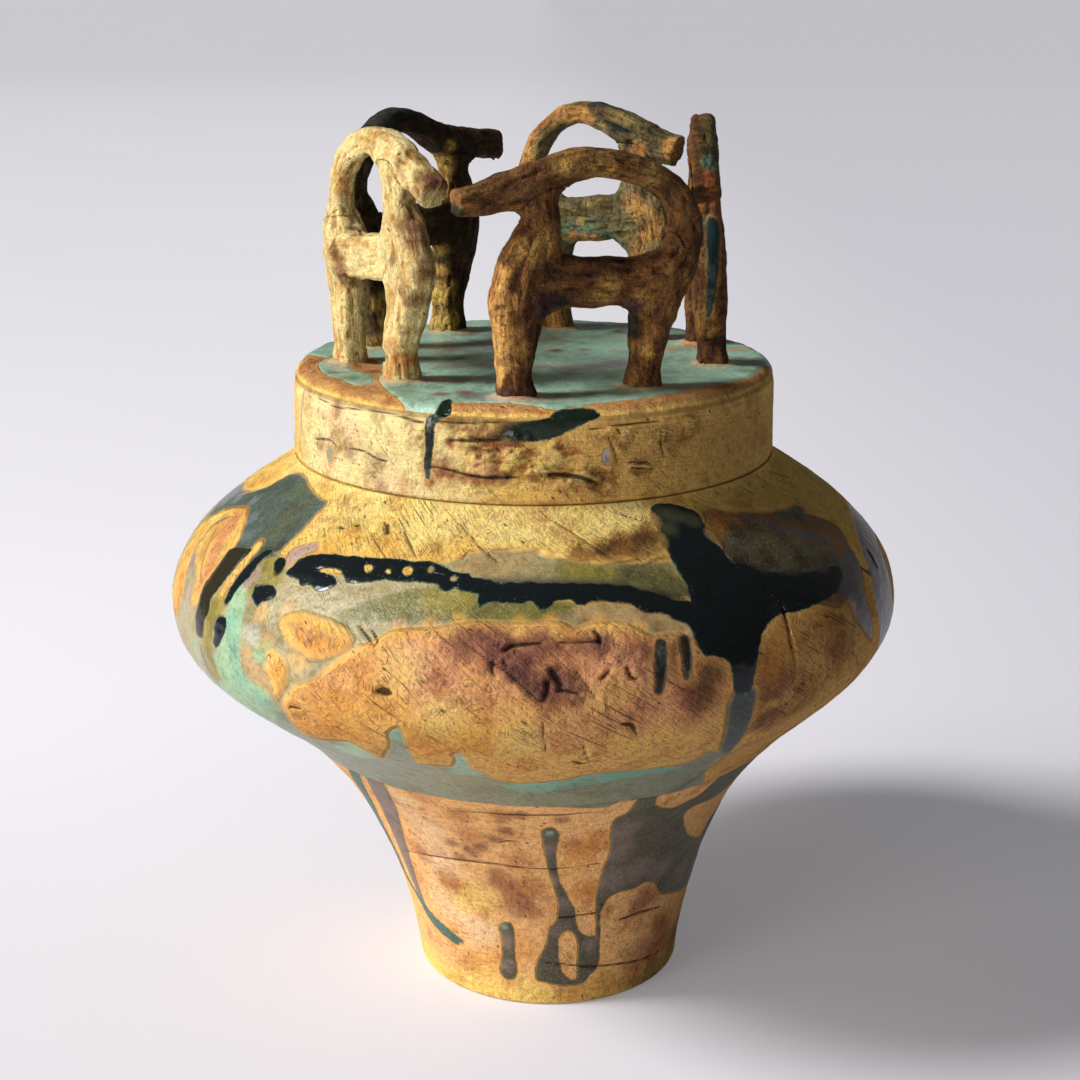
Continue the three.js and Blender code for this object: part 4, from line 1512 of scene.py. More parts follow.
FOOT_TORN = [
    (0.5, 14, [(600, 915), (650, 905), (560, 960), (620, 960), (470, 850), (500, 815), (660, 940)]),
]

BAND_DABS = [
    # Pale clay, and a painted highlight over the lit left of the band
    (PALE_CLAY, 0.95, 80, [(320, 400), (350, 410), (340, 440), (380, 440), (330, 470), (420, 470)]),
    (PALE_PINK, 0.6, 24, [(350, 430), (380, 480), (400, 500), (330, 410), (330, 460)]),
    (PLUM, 0.5, 12, [
        (320, 442), (350, 452), (380, 462), (336, 408), (376, 415), (410, 422), (430, 468), (380, 490),
    ]),
    (SCORCHED, 0.8, 9, [
        (440, 416), (460, 417), (480, 416), (500, 417), (450, 424), (480, 424), (505, 424), (520, 412),
    ]),
    (RUST, 0.6, 9, [
        (610, 406), (630, 405), (650, 403), (670, 400), (690, 397), (720, 388), (745, 380), (320, 392),
        (360, 402),
    ]),
    (BROWN, 0.5, 14, [(700, 400), (735, 392), (760, 378), (770, 366)]),
    # Painted shade: deeper ochre over the shaded right of the band
    (OCHRE, 0.6, 60, [(650, 440), (700, 430), (740, 420), (600, 480)]),
    (PINK, 0.6, 14, [(490, 470), (500, 450), (475, 470)]),
    (RUST, 0.5, 14, [(480, 445), (500, 445), (640, 405), (610, 405), (700, 392)]),
    (RUST, 0.85, 7, [
        (450, 444), (462, 445), (474, 446), (486, 447), (498, 447), (430, 482), (440, 474), (452, 476),
        (464, 478), (476, 480), (488, 480), (500, 479), (530, 452), (560, 448), (575, 450),
    ]),
    (BROWN, 0.85, 5, [
        (450, 441), (462, 441), (474, 441), (488, 441), (500, 441), (555, 476), (566, 476), (578, 478),
        (590, 481), (598, 484), (494, 478), (506, 478),
    ]),
    (RUST, 0.7, 9, [
        (430, 404), (446, 408), (462, 409), (478, 410), (494, 410), (510, 410), (526, 411), (620, 408),
    ]),
]

BAND_WASH = [
    ("run", GREY_STREAK, [
        (306, 369, 0.9), (304, 385, 0.6), (303, 405, 0.6), (302, 425, 0.6), (300, 445, 0.5),
    ]),
    ("run", SAGE_STREAK, [(330, 450, 1.2), (330, 455, 1.4), (331, 461, 1.1)]),
    ("run", MAUVE_STREAK, [(606, 451, 0.9), (606, 457, 1.2), (606, 462, 0.9)]),
]

BAND_DARK = [
    ("run", BLACK_GREEN, [
        (446, 398, 3.0), (441, 404, 2.8), (436, 411, 2.3), (433, 418, 1.9), (431, 426, 1.6),
        (430, 440, 1.5), (429, 455, 1.3), (428, 466, 1.0), (428, 477, 0.7),
    ]),
    ("pour", BLACK_GREEN, [
        (491, 438), (499, 429), (510, 421), (524, 417), (546, 414), (541, 408), (548, 400), (575, 400),
        (598, 402), (602, 410), (598, 416), (590, 421), (575, 428), (560, 435), (545, 440), (520, 442),
        (503, 441),
    ]),
    ("soften", 2.2, 14, [(495, 434), (505, 425), (515, 419), (500, 440), (528, 416), (512, 442)]),
    *(
        ("stroke", DRIP_GREEN, [(turn, 214, 3), (turn + 2, 205, 1.6), (turn + 1, 194, 1.4)])
        for turn in (110, 150, -145, -110)
    ),
]

BAND_CRACKS = [
    ([
        (306, 396, 0.1), (322, 400, 0.2), (336, 407, 0.3), (365, 410, 0.3), (390, 414, 0.35),
        (415, 421, 0.4), (424, 422, 0.3),
    ], 0.5),
    ([(438, 422, 0.2), (470, 423, 0.35), (500, 422, 0.2)], 0.5),
    ([(450, 441, 0.3), (475, 441, 0.5), (500, 440, 0.3)], 0.9),
    ([(432, 467, 0.2), (450, 471, 0.4), (475, 477, 0.45), (500, 478, 0.5), (520, 477, 0.2)], 0.8),
    ([(549, 475, 0.4), (562, 475, 0.6), (580, 477, 0.6), (597, 483, 0.3)], 1.1),
    ([(348, 449, 0.2), (362, 451, 0.3), (375, 458, 0.35), (387, 462, 0.3)], 0.5),
    ([(316, 439, 0.3), (328, 440, 0.35), (337, 446, 0.3)], 0.5),
    ([(590, 429, 0.15), (620, 425, 0.3), (660, 421, 0.15)], 0.4),
    ([(608, 436, 0.2), (613, 448, 0.3), (618, 462, 0.2)], 0.5),
    ([(660, 430, 0.3), (661, 445, 0.3), (664, 456, 0.2)], 0.5),
    ([(630, 462, 0.3), (650, 463, 0.3)], 0.5),
    ([(632, 468, 0.4), (654, 469, 0.3)], 0.6),
]

BAND_TORN = [
    (1.0, 18, [
        (500, 465), (470, 440), (530, 470), (575, 480), (515, 450), (550, 465), (485, 455), (600, 480),
    ]),
    (0.7, 16, [
        (450, 470), (480, 480), (600, 490), (560, 455), (640, 466), (620, 440), (660, 440), (450, 425),
        (480, 422), (420, 440), (690, 430), (340, 440), (370, 470),
    ]),
]

LID_TOP_DABS = [
    (BROWN, 0.6, 12, [
        (355, 368), (370, 372), (700, 368), (735, 368), (318, 362), (338, 366), (755, 372), (765, 362),
        (560, 411), (610, 408), (640, 405), (480, 412), (520, 412),
    ]),
    (RUST, 0.6, 9, [(330, 356), (345, 362), (372, 372), (384, 378), (720, 372), (746, 352)]),
]

LID_TOP_POURS = [
    ("pour", LID_CELADON, [
        (383, 388), (400, 399), (420, 406), (434, 410), (447, 403), (500, 404), (560, 407), (600, 403),
        (650, 398), (700, 388), (745, 379), (764, 366), (778, 352), (770, 338), (735, 328), (690, 322),
        (620, 317), (540, 315), (460, 317), (380, 323), (330, 331), (302, 342), (300, 350), (312, 355),
        (326, 358), (338, 357), (352, 358), (372, 360), (384, 370), (378, 380),
    ]),
    ("pour", LID_CELADON, [
        (318, 366), (326, 360), (345, 364), (356, 372), (372, 376), (374, 384), (356, 386), (340, 380),
        (326, 376),
    ]),
]

LID_TOP_STREAKS = [
    ("tint", LAVENDER, 0.9, 24, [
        (590, 367), (620, 364), (570, 370), (450, 350), (500, 350), (480, 344), (480, 397),
    ]),
    ("tint", LID_RUST, 0.85, 12, [
        (670, 350), (690, 348), (710, 350), (735, 352), (750, 348), (345, 358), (365, 358),
    ]),
    ("tint", BROWN, 0.8, 11, [
        (430, 360), (460, 359), (495, 361), (440, 396), (465, 394), (555, 352), (585, 351), (560, 396),
        (590, 395), (625, 396), (470, 336), (500, 334), (620, 333),
    ]),
]

LID_TOP_TINTS = [
    ("tint", TURQUOISE, 0.7, 22, [
        (540, 386), (600, 386), (640, 392), (695, 364), (400, 390), (470, 378), (350, 380), (320, 345),
        (660, 380),
    ]),
]

LID_TOP_SPOTS = [
    ("tint", BLUE_GREY, 0.8, 9, [(333, 374), (640, 325), (600, 325), (420, 375), (400, 372)]),
]

LID_TOP_SHADE = [
    ("tint", DRAB, 0.5, 14, [(745, 372), (760, 350), (720, 385), (740, 360)]),
]

LID_TOP_DARK = [
    ("pour", BLACK_GREEN, [
        (429, 420), (430, 412), (433, 406), (440, 403), (447, 401), (452, 402), (449, 408), (444, 413),
        (440, 420),
    ]),
    ("pour", BLACK_GREEN, [
        (543, 426), (544, 412), (551, 408), (575, 406), (598, 406), (605, 409), (601, 417), (592, 426),
    ]),
]

# Each figure's own clay, what it is multiplied by in its hollows as painted shade, how bright the painted
# highlight on its raised ridges is, the colours laid over it (some of them painted highlights on lit faces),
# and its glazes
FIGURE_LOOKS = {
    "goat_1": dict(ground=RUBBED, hollow_shade=(0.4, 0.3, 0.25), ridge_highlight=0.75, dabs=[
        # Painted highlight: ochre down the lit left side of the foreleg
        (OCHRE, 0.95, 10, [
            (492, 300), (493, 325), (496, 350), (499, 370), (498, 312), (499, 338), (494, 285),
            (498, 382), (498, 272),
        ]),
        (OCHRE, 0.6, 12, [(506, 330), (508, 355), (640, 345), (645, 330), (452, 200), (506, 300)]),
        (BUFF, 0.4, 16, [
            (560, 165), (600, 160), (520, 250), (540, 240), (630, 300), (600, 285), (470, 185),
            (650, 170),
        ]),
        (UMBER, 0.7, 14, [
            (500, 185), (480, 190), (620, 262), (600, 265), (690, 200), (690, 245), (680, 270),
            (570, 290), (540, 270),
        ]),
        (UMBER, 0.7, 13, [
            (505, 392), (525, 392), (560, 235), (558, 215), (620, 290), (590, 288), (650, 370),
            (532, 330), (532, 310), (530, 350), (528, 375), (665, 320), (660, 340),
        ]),
        (BLACK_GREEN, 0.9, 9, [
            (628, 308), (630, 320), (630, 332), (546, 300), (556, 299), (540, 308), (454, 210),
            (454, 216),
        ]),
        (DEEP_PLUM, 0.75, 11, [
            (500, 396), (515, 396), (530, 396), (535, 300), (545, 296), (630, 300), (618, 302),
        ]),
        (DEEP_PLUM, 0.4, 12, [(665, 190), (640, 168), (580, 180), (520, 195)]),
    ]),
    "goat_2": dict(ground=PALE_CLAY, hollow_shade=(0.62, 0.42, 0.24), ridge_highlight=1.15, dabs=[
        (SCORCHED, 0.8, 13, [
            (430, 176), (438, 184), (430, 190), (442, 178), (412, 205), (414, 222), (352, 252),
            (357, 262),
        ]),
        (PLUM, 0.7, 10, [(436, 176), (440, 186), (416, 212), (418, 228), (356, 270), (420, 240)]),
        (BROWN, 0.7, 9, [
            (420, 190), (428, 200), (352, 270), (356, 280), (408, 260), (418, 290), (425, 275),
            (420, 300), (412, 160),
        ]),
        (LAVENDER, 0.6, 7, [(394, 310), (396, 325), (394, 338), (357, 226), (364, 228)]),
        (ORANGE, 0.5, 10, [
            (405, 340), (408, 360), (402, 372), (345, 340), (350, 355), (385, 140), (400, 150),
        ]),
        (RUBBED, 0.5, 8, [(413, 330), (416, 350), (330, 150), (345, 145)]),
    ], wash=[
        ("pour", SLATE, [(352, 226), (362, 222), (384, 225), (386, 230), (372, 231), (356, 230)]),
    ]),
    "goat_3": dict(ground=NIGHT_BROWN, hollow_shade=(0.45, 0.4, 0.35), ridge_highlight=0.35, dabs=[
        # Painted highlight: buff down the lit left sides of the foreleg and neck
        (BUFF, 0.7, 9, [
            (436, 250), (437, 270), (436, 300), (438, 325), (442, 310), (437, 160), (440, 145),
            (437, 175),
        ]),
        (DEEP_TEAL, 0.8, 20, [(370, 118), (385, 110), (400, 112), (362, 125), (365, 150)]),
        # Painted highlight: buff on the lit left faces of the hind leg, foreleg and neck
        (BUFF, 0.8, 14, [
            (440, 165), (438, 185), (370, 300), (375, 320), (372, 340), (441, 320), (440, 290),
        ]),
        (SLATE, 0.7, 10, [(358, 185), (360, 200), (360, 170)]),
        (SCORCHED, 0.8, 9, [(496, 135), (498, 150), (498, 142)]),
        (BROWN, 0.6, 12, [(450, 260), (448, 300), (400, 130), (420, 140), (380, 215), (390, 225)]),
    ]),
    "goat_4": dict(ground=OLIVE_CLAY, hollow_shade=(0.5, 0.45, 0.4), ridge_highlight=0.8, dabs=[
        (APRICOT, 0.95, 20, [
            (530, 140), (535, 125), (548, 112), (560, 106), (528, 150), (560, 320), (558, 300),
            (575, 108), (590, 112),
        ]),
        (DEEP_TEAL, 0.95, 14, [(605, 106), (614, 114), (622, 124), (628, 135), (634, 145), (600, 100)]),
        (OLIVE, 0.6, 14, [(650, 120), (665, 130), (580, 102), (570, 215), (590, 210)]),
        (APRICOT, 0.95, 12, [(680, 145), (682, 155), (676, 148), (645, 148), (642, 155)]),
        (APRICOT, 0.8, 14, [(650, 210), (655, 235), (645, 250), (665, 225), (640, 200)]),
        (PLUM, 0.5, 8, [(652, 220), (645, 240), (640, 248)]),
        (TURQUOISE, 0.6, 12, [(600, 225), (575, 225), (615, 235), (590, 230)]),
        (ORANGE, 0.8, 7, [(580, 234), (590, 236), (600, 237)]),
        (CREAM, 0.5, 6, [(593, 202)]),
    ]),
    "goat_5": dict(ground=RUSSET, hollow_shade=(0.4, 0.32, 0.28), ridge_highlight=0.55, dabs=[
        (OLIVE, 0.8, 12, [(700, 125), (704, 135), (698, 145), (708, 120)]),
        (TURQUOISE, 0.6, 9, [(698, 150), (702, 155), (700, 212)]),
        (RUST, 0.7, 9, [(700, 175), (705, 190), (700, 165)]),
        (UMBER, 0.7, 9, [(712, 130), (714, 160), (716, 330), (720, 300), (700, 330), (722, 270)]),
        (APRICOT, 0.6, 7, [(708, 270), (706, 300), (705, 320), (702, 180)]),
    ], dark=[
        ("pour", DEEP_TEAL, [
            (700, 212), (712, 214), (711, 240), (709, 268), (706, 290), (703, 302), (699, 298),
            (700, 262),
        ]),
    ]),
}


# Painting

PLAIN = dict(clay=BUFF, wash=-FAR, wash_colour=STONE, dark=-FAR, dark_colour=BLACK, wash_fuzz=CRISP,
             fuzz=CRISP, crack=-FAR, torn=0.0, place=np.zeros(3))
CHART_MM_PER_DEGREE = 1.75


def with_place(skin, values):
    """Adds the chart places by which the materials lay out their marks."""
    across = skin.a * CHART_MM_PER_DEGREE if skin.wraps else skin.a
    values["place"] = np.column_stack([across, skin.b, 0 * skin.a])
    return values


def rough_up(skin, amount, seed):
    """Hand-made unevenness: broad swells, lumps and small tooth."""
    drawn = np.column_stack([skin.a * 2, skin.b * 6, 0 * skin.a])
    skin.relief += amount * (
        0.5 * noise(skin.points, 52, seed) + 0.3 * noise(skin.points, 19, seed + 1)
        + 0.16 * layered_noise(skin.points, 6, 3, seed + 2) + 0.1 * noise(drawn, 9, seed + 3)
    )


def paint_belly(skin):
    uneven = layered_noise(skin.points, 7, 3, BELLY_SEED)
    clay = np.tile(OCHRE, (len(skin.a), 1))
    clay = blend(clay, BUFF, blend_step(148, 166, skin.points[:, 2]))
    clay = dab_clay(skin, clay, uneven, BELLY_DABS)
    wash = Coat(skin, STONE, uneven, SOFT)
    dark = Coat(skin, BLACK, uneven)
    wash.lay(BELLY_WASH)
    dark.lay(BELLY_DARK)
    plum_clouds = blend_step(0.05, 0.45, layered_noise(skin.points, 26, 3, BELLY_SEED + 6))
    rusty_clouds = blend_step(0.0, 0.4, -layered_noise(skin.points, 34, 3, BELLY_SEED + 7))
    clay = cloud_back(skin, clay, PLUM, 0.7, plum_clouds)
    clay = cloud_back(skin, clay, PINK_RUST, 0.7, rusty_clouds)
    crack = cut_cracks(skin, BELLY_CRACKS)
    torn = patches(skin, uneven, BELLY_TORN)
    skin.relief += 0.7 * torn * layered_noise(skin.points, 4.5, 3, BELLY_SEED + 4)
    skin.relief += 0.14 * blend_step(-0.6, 1.4, wash.depth) + 0.16 * blend_step(-0.4, 1.6, dark.depth)
    return skin_values(clay, wash, dark, crack, torn)


def paint_foot(skin):
    uneven = layered_noise(skin.points, 6, 3, FOOT_SEED)
    clay = np.tile(FOOT_CLAY, (len(skin.a), 1))
    clay = blend(clay, BUFF, blend_step(12, 2, skin.points[:, 2]))
    clay = dab_clay(skin, clay, uneven, FOOT_DABS)
    wash = Coat(skin, DARK_OLIVE, uneven)
    dark = Coat(skin, BLACK, uneven)
    wash.lay(FOOT_WASH)
    rusty_clouds = blend_step(0.0, 0.4, layered_noise(skin.points, 22, 3, FOOT_SEED + 4))
    clay = cloud_back(skin, clay, RUST, 0.6, rusty_clouds)
    crack = cut_cracks(skin, FOOT_CRACKS)
    torn = patches(skin, uneven, FOOT_TORN)
    skin.relief += (0.2 * blend_step(-0.4, 1.6, wash.depth)
                    + 0.3 * torn * layered_noise(skin.points, 5, 3, FOOT_SEED + 2))
    return skin_values(clay, wash, dark, crack, torn)


def paint_flush(skin, paint):
    """Paints a skin, and fades out the relief of the paint where the belly and the foot meet."""
    plain = skin.relief.copy()
    values = paint(skin)
    skin.relief = plain + (skin.relief - plain) * blend_step(0, 3, np.abs(skin.points[:, 2] - FOOT_HEIGHT))
    return values


def paint_band(skin):
    """The side of the lid, with torn crumbs of clay standing out of it."""
    uneven = layered_noise(skin.points, 5, 3, BAND_SEED)
    clay = np.tile(BAND_CLAY, (len(skin.a), 1))
    clay = dab_clay(skin, clay, uneven, BAND_DABS)
    wash = Coat(skin, BLUE_GREY, uneven)
    dark = Coat(skin, DRIP_GREEN, uneven)
    wash.lay(BAND_WASH)
    dark.lay(BAND_DARK)
    crack = cut_cracks(skin, BAND_CRACKS)
    torn = patches(skin, uneven, BAND_TORN)
    crumbs = layered_noise(skin.points, (6, 6, 2.6), 3, BAND_SEED + 4)
    raised = torn * blend_step(0.07, 0.17, crumbs)
    sunk = torn * blend_step(-0.08, -0.18, crumbs)
    skin.relief += (0.8 * torn * crumbs + 0.45 * raised - 0.55 * sunk
                    + 0.25 * layered_noise(skin.points, 6, 3, BAND_SEED + 3))
    clay = blend(clay, CREAM, 0.5 * raised)
    clay = blend(clay, RUST, 0.65 * sunk)
    skin.relief += 0.14 * blend_step(-0.4, 1.6, wash.depth) + 0.2 * blend_step(-0.4, 1.6, dark.depth)
    return skin_values(clay, wash, dark, crack, torn)


def flow_round_feet(skin, wash, flat):
    """Glaze that ran up to the figures' feet, over a rusty ring. flat is 1 away from the edge."""
    for name in FIGURES:
        foot, ahead, _ = figure_frame(name)
        for along in (0, FORMS[name]["stride"]):
            place = foot + along * ahead
            gap = np.hypot(skin.points[:, 0] - place[0], skin.points[:, 1] - place[1]) - 6
            fillet = np.exp(-np.clip(gap, 0, 20) / 1.8) * flat
            skin.relief += 1.5 * fillet
            wash.colour = blend(wash.colour, LID_RUST, 0.8 * fillet)


def paint_lid_top(skin, edge):
    """The flat top. edge is 0 on the flat and 1 where the rounded edge turns down."""
    uneven = layered_noise(skin.points, 7, 3, LID_TOP_SEED)
    streak = layered_noise(skin.points, (48, 13, 30), 3, LID_TOP_SEED + 2)
    side = blend_step(0.0, 0.25, edge + 0.2 * uneven)
    clay = blend(np.tile(LID_RUST, (len(skin.a), 1)), BAND_CLAY, side)
    clay = dab_clay(skin, clay, uneven, LID_TOP_DABS)
    wash = Coat(skin, CELADON, uneven)
    dark = Coat(skin, BLACK, uneven)
    wash.lay(LID_TOP_POURS)
    ragged = uneven + 1.2 * streak
    for edges, steps in ((ragged, LID_TOP_STREAKS), (uneven, LID_TOP_TINTS), (ragged, LID_TOP_SPOTS),
                         (uneven, LID_TOP_SHADE)):
        wash.uneven = edges
        wash.lay(steps)
    for shade, strength, part in ((LID_PLUM, 0.6, streak), (LID_DUSK, 0.45, -streak)):
        wash.colour = blend(wash.colour, shade, strength * blend_step(0.12, 0.5, part))
    thin_places = 4.0 * (layered_noise(skin.points, (26, 8, 30), 3, LID_TOP_SEED + 12) + 0.62)
    wash.depth = np.minimum(wash.depth, thin_places)
    dark.lay(LID_TOP_DARK)
    rim = blend_step(0.62, 0.9, edge) * blend_step(1.5, 0.2, np.abs(wash.depth))
    clay = blend(clay, RUST, 0.7 * rim)
    flow_round_feet(skin, wash, 1 - side)
    skin.relief += 0.35 * blend_step(-0.4, 1.4, wash.depth)
    return skin_values(clay, wash, dark)


# The vessel

inside_line = vessel_line - WALL * line_normals(vessel_line)


def inside_rows(low, high, count):
    """The wall's inside from high to low."""
    heights = np.linspace(high, low, count)
    return np.stack([np.interp(heights, inside_line[:, 1], inside_line[:, 0]), heights], axis=1)


def outside_rows(low, high, spacing):
    chosen = vessel_line[(vessel_line[:, 1] >= low - 1e-6) & (vessel_line[:, 1] <= high + 1e-6)]
    return evenly(chosen, spacing)


def build_belly(material):
    low_rows = outside_rows(FOOT_HEIGHT, BELLY_HEIGHT, BELLY_SPACING)
    high_rows = outside_rows(BELLY_HEIGHT, SHOULDER_HEIGHT, BELLY_SPACING)
    ledge = np.array([
        [LID_RADIUS - 0.5, SHOULDER_HEIGHT], [76, SHOULDER_HEIGHT], [MOUTH_RADIUS + 0.5, SHOULDER_HEIGHT],
        [MOUTH_RADIUS, SHOULDER_HEIGHT - 0.5], [MOUTH_RADIUS, SHOULDER_HEIGHT - 7.5],
        [MOUTH_RADIUS + 0.5, SHOULDER_HEIGHT - 8], [MOUTH_RADIUS + 8, SHOULDER_HEIGHT - 8.2],
    ])
    low_inside = inside_rows(FOOT_HEIGHT, BELLY_HEIGHT, 12)
    high_inside = np.concatenate([ledge, inside_rows(BELLY_HEIGHT, SHOULDER_HEIGHT - 9, 10)])
    walls, meshes = [], []
    for node, outside, inside in (("lower_bowl", low_rows, low_inside),
                                  ("upper_bowl", high_rows, high_inside)):
        wall = Turned(outside, inside, BELLY_COLUMNS, along_vessel(outside[:, 1]), True, seen_on_vessel)
        rough_up(wall.skin, 1.0, VESSEL_WALL_SEED)
        values = with_place(wall.skin, paint_flush(wall.skin, paint_belly))
        wall.skin.relief *= blend_step(SHOULDER_HEIGHT - 0.5, SHOULDER_HEIGHT - 4, wall.skin.points[:, 2])
        mesh = wall.mesh(f"{node}_wall")
        wall.finish(mesh, values)
        walls.append(wall)
        meshes.append(mesh)
    join_normals(walls, meshes)
    place_piece(meshes[0], "vessel", ["lower_bowl"], material)
    place_piece(meshes[1], "vessel", ["upper_bowl"], material)


def build_foot(material):
    outside = outside_rows(0, FOOT_HEIGHT, FOOT_SPACING)
    outside = outside[outside[:, 1] > BASE_EDGE]
    edge = quarter_round((BASE_RADIUS - BASE_EDGE + 0.2, BASE_EDGE), BASE_EDGE, -90, -5, 5)
    outside = np.concatenate([[[BASE_RADIUS - 8, 0]], edge, outside])
    inside = np.concatenate([inside_rows(FLOOR_THICKNESS + 1, FOOT_HEIGHT, 14), [[34, FLOOR_THICKNESS]]])
    part = Turned(outside, inside, FOOT_COLUMNS, along_vessel(outside[:, 1]), True, seen_on_vessel,
                  poles=[(LEAN_AT_BASE, 0, 0), (LEAN_AT_BASE, 0, FLOOR_THICKNESS)])
    rough_up(part.skin, 1.0, VESSEL_WALL_SEED)
    values = with_place(part.skin, paint_flush(part.skin, paint_foot))
    part.skin.relief *= blend_step(1.0, 6, part.skin.points[:, 2])
    mesh = part.mesh("foot_and_floor")
    part.finish(mesh, values)
    place_piece(mesh, "vessel", ["foot_wall", "base_slab"], material)


def build_collar(material):
    lip = quarter_round((COLLAR_RADIUS - 2, COLLAR_TOP - 2), 2, 0, 90, 5)
    inner_lip = quarter_round((MOUTH_RADIUS + 2, COLLAR_TOP - 2), 2, 90, 180, 5)
    heights = np.linspace(SHOULDER_HEIGHT, COLLAR_TOP - 2.5, 14)
    outer = np.column_stack([np.full(len(heights), COLLAR_RADIUS), heights])
    inner = np.column_stack([np.full(len(heights), MOUTH_RADIUS), heights[::-1]])
    outside = np.concatenate([outer, lip, inner_lip, inner])
    part = Turned(outside, [], COLLAR_COLUMNS, np.linspace(0, 42, len(outside)), False, seen_on_band)
    skin = part.skin
    even = np.zeros(len(skin.a))
    skin.relief += 0.2 * layered_noise(skin.points, 9, 3, COLLAR_SEED) - 0.1
    clay = np.tile(BUFF, (len(skin.a), 1))
    values = with_place(skin, skin_values(clay, Coat(skin, STONE, even), Coat(skin, BLACK, even)))
    mesh = part.mesh("neck_ring")
    part.finish(mesh, values)
    place_piece(mesh, "vessel", ["rim_collar"], material)


# The lid

def make_band():
    """The lid's side wall and its painted values."""
    heights = np.linspace(LID_SEAT + 1.9, LID_JOINT, 34)
    foot = quarter_round((lid_radius(LID_SEAT) - 1.8, LID_SEAT + 1.6), 1.8, -90, -5, 5)
    outside = np.concatenate([foot, np.column_stack([lid_radius(heights), heights])])
    inside = np.array([
        [LID_INSIDE + 0.4, LID_JOINT], [LID_INSIDE, LID_JOINT - 0.4], [LID_INSIDE, LID_SEAT + 0.5],
        [LID_INSIDE + 0.5, LID_SEAT],
    ])
    band = Turned(outside, inside, LID_COLUMNS, outside[:, 1], False, seen_on_band)
    rough_up(band.skin, 0.7, LID_WALL_SEED)
    values = with_place(band.skin, paint_band(band.skin))
    band.skin.relief *= blend_step(LID_SEAT - 0.1, LID_SEAT + 2, band.skin.points[:, 2])
    return band, values


def make_top():
    """The lid's top slab and its values: painted as a band round its edge and as a flat above."""
    side_heights = np.array([LID_JOINT, LID_TOP - LID_ROUND - 1])
    side = np.column_stack([lid_radius(side_heights), side_heights])
    corner = quarter_round((LID_TOP_RADIUS - LID_ROUND, LID_TOP - LID_ROUND), LID_ROUND, 0, 90, 12)
    level = np.array([[LID_TOP_RADIUS - LID_ROUND - 1, LID_TOP], [0.6, LID_TOP]])
    outside = evenly(np.concatenate([side, corner, level]), LID_SPACING)
    top = Turned(outside, [], LID_COLUMNS, outside[:, 1], False, seen_on_band,
                 poles=[(0, 0, LID_JOINT), (0, 0, LID_TOP)])
    skin = top.skin
    edge = blend_step(LID_TOP - 1.0, LID_TOP - LID_ROUND, skin.points[:, 2])
    rough_up(skin, 0.7, LID_WALL_SEED)
    skin.b = skin.points[:, 2]
    side_values = with_place(skin, paint_band(skin))
    flat = Skin(skin.points, skin.normals, skin.points[:, 0], skin.points[:, 1], np.ones(len(skin.a)), False,
                seen_on_lid_top)
    flat_values = with_place(flat, paint_lid_top(flat, edge))
    share = blend_step(0.55, 0.8, edge)
    values = {}
    for key, flat_value in flat_values.items():
        own = share[:, None] if flat_value.ndim == 2 else share
        values[key] = flat_value * (1 - own) + side_values[key] * own
    skin.relief += flat.relief
    skin.relief *= blend_step(0.5, 4, np.hypot(skin.points[:, 0], skin.points[:, 1]))
    return top, values


def build_lid(band_material, top_material):
    band, band_values = make_band()
    top, top_values = make_top()
    meshes = [band.mesh("lid_band_wall"), top.mesh("lid_top_slab")]
    band.finish(meshes[0], band_values)
    top.finish(meshes[1], top_values)
    join_normals((band, top), meshes)
    place_piece(meshes[0], "lid", ["lid_band"], band_material)
    place_piece(meshes[1], "lid", ["lid_top"], top_material)


# The figures

# The grid that a figure is formed in, in (along, up, across)
GRID_LOW = np.array([-24, -1.5, -10.5])
GRID_HIGH = np.array([74, 86, 10.5])
VERY_FAR = 1e9


def figure_bars(name):
    """Stations of the hind leg, the back and the foreleg of a figure, and of its horn. A station is
    (along, up, half depth in the figure's plane, half width across it)."""
    form = FORMS[name]
    stride, belly, back, chest, neck = (form[key] for key in ("stride", "belly", "back", "chest", "neck"))
    end, end_up = form["horn"][-1]
    middle, deep = (belly + back) / 2, (back - belly) / 2
    start = 0.4 * end
    reach = stride - 3 - start
    hind = [
        (0, -1, 6.1, 5.8), (0.03 * end, 5, 5.3, 5.1), (0.07 * end, 0.33 * belly, 5.1, 5),
        (0.15 * end, 0.75 * belly, 6.4, 5.2), (start, middle - 2, 7.8, 5.6),
        (0.8 * end, back - 2, 6.4, 5.2), (end, end_up + 3, 4.2, 4.2),
    ]
    spine = [
        (start, middle, deep - 1, 5), (start + 0.35 * reach, middle, deep, 5.6),
        (start + 0.7 * reach, middle + 1, deep + 0.5, 5.8), (start + reach, middle + 2, deep, 4.4),
    ]
    fore = [
        (stride, -1, 6.8, 6), (stride + 0.2, 5, 5.8, 5.3), (stride + 0.4, 0.4 * belly, 5.6, 5),
        ((stride + chest[0] - 8.5) / 2, 0.8 * belly, 7.4, 5.4), (chest[0] - 9.2, chest[1], 9, 5.8),
        ((chest[0] - 9 + neck[0]) / 2 + 0.5, (chest[1] + neck[1]) / 2, 8.2, 5.4), (*neck, 6, 4.6),
        (neck[0] + 0.5, neck[1] + 6, 6.4, 4.3), (neck[0] + 1, neck[1] + form["reach"], 7, 4),
    ]
    depths = [form["snout"], 5.1, 5.4, 5] + [form["depth"]] * (len(form["horn"]) - 4)
    widths = [form["width"] + 0.7, form["width"] + 0.3] + [form["width"]] * (len(form["horn"]) - 2)
    horn = [(*place, depth, width) for place, depth, width in zip(form["horn"], depths, widths)]
    return [hind, spine, fore], horn


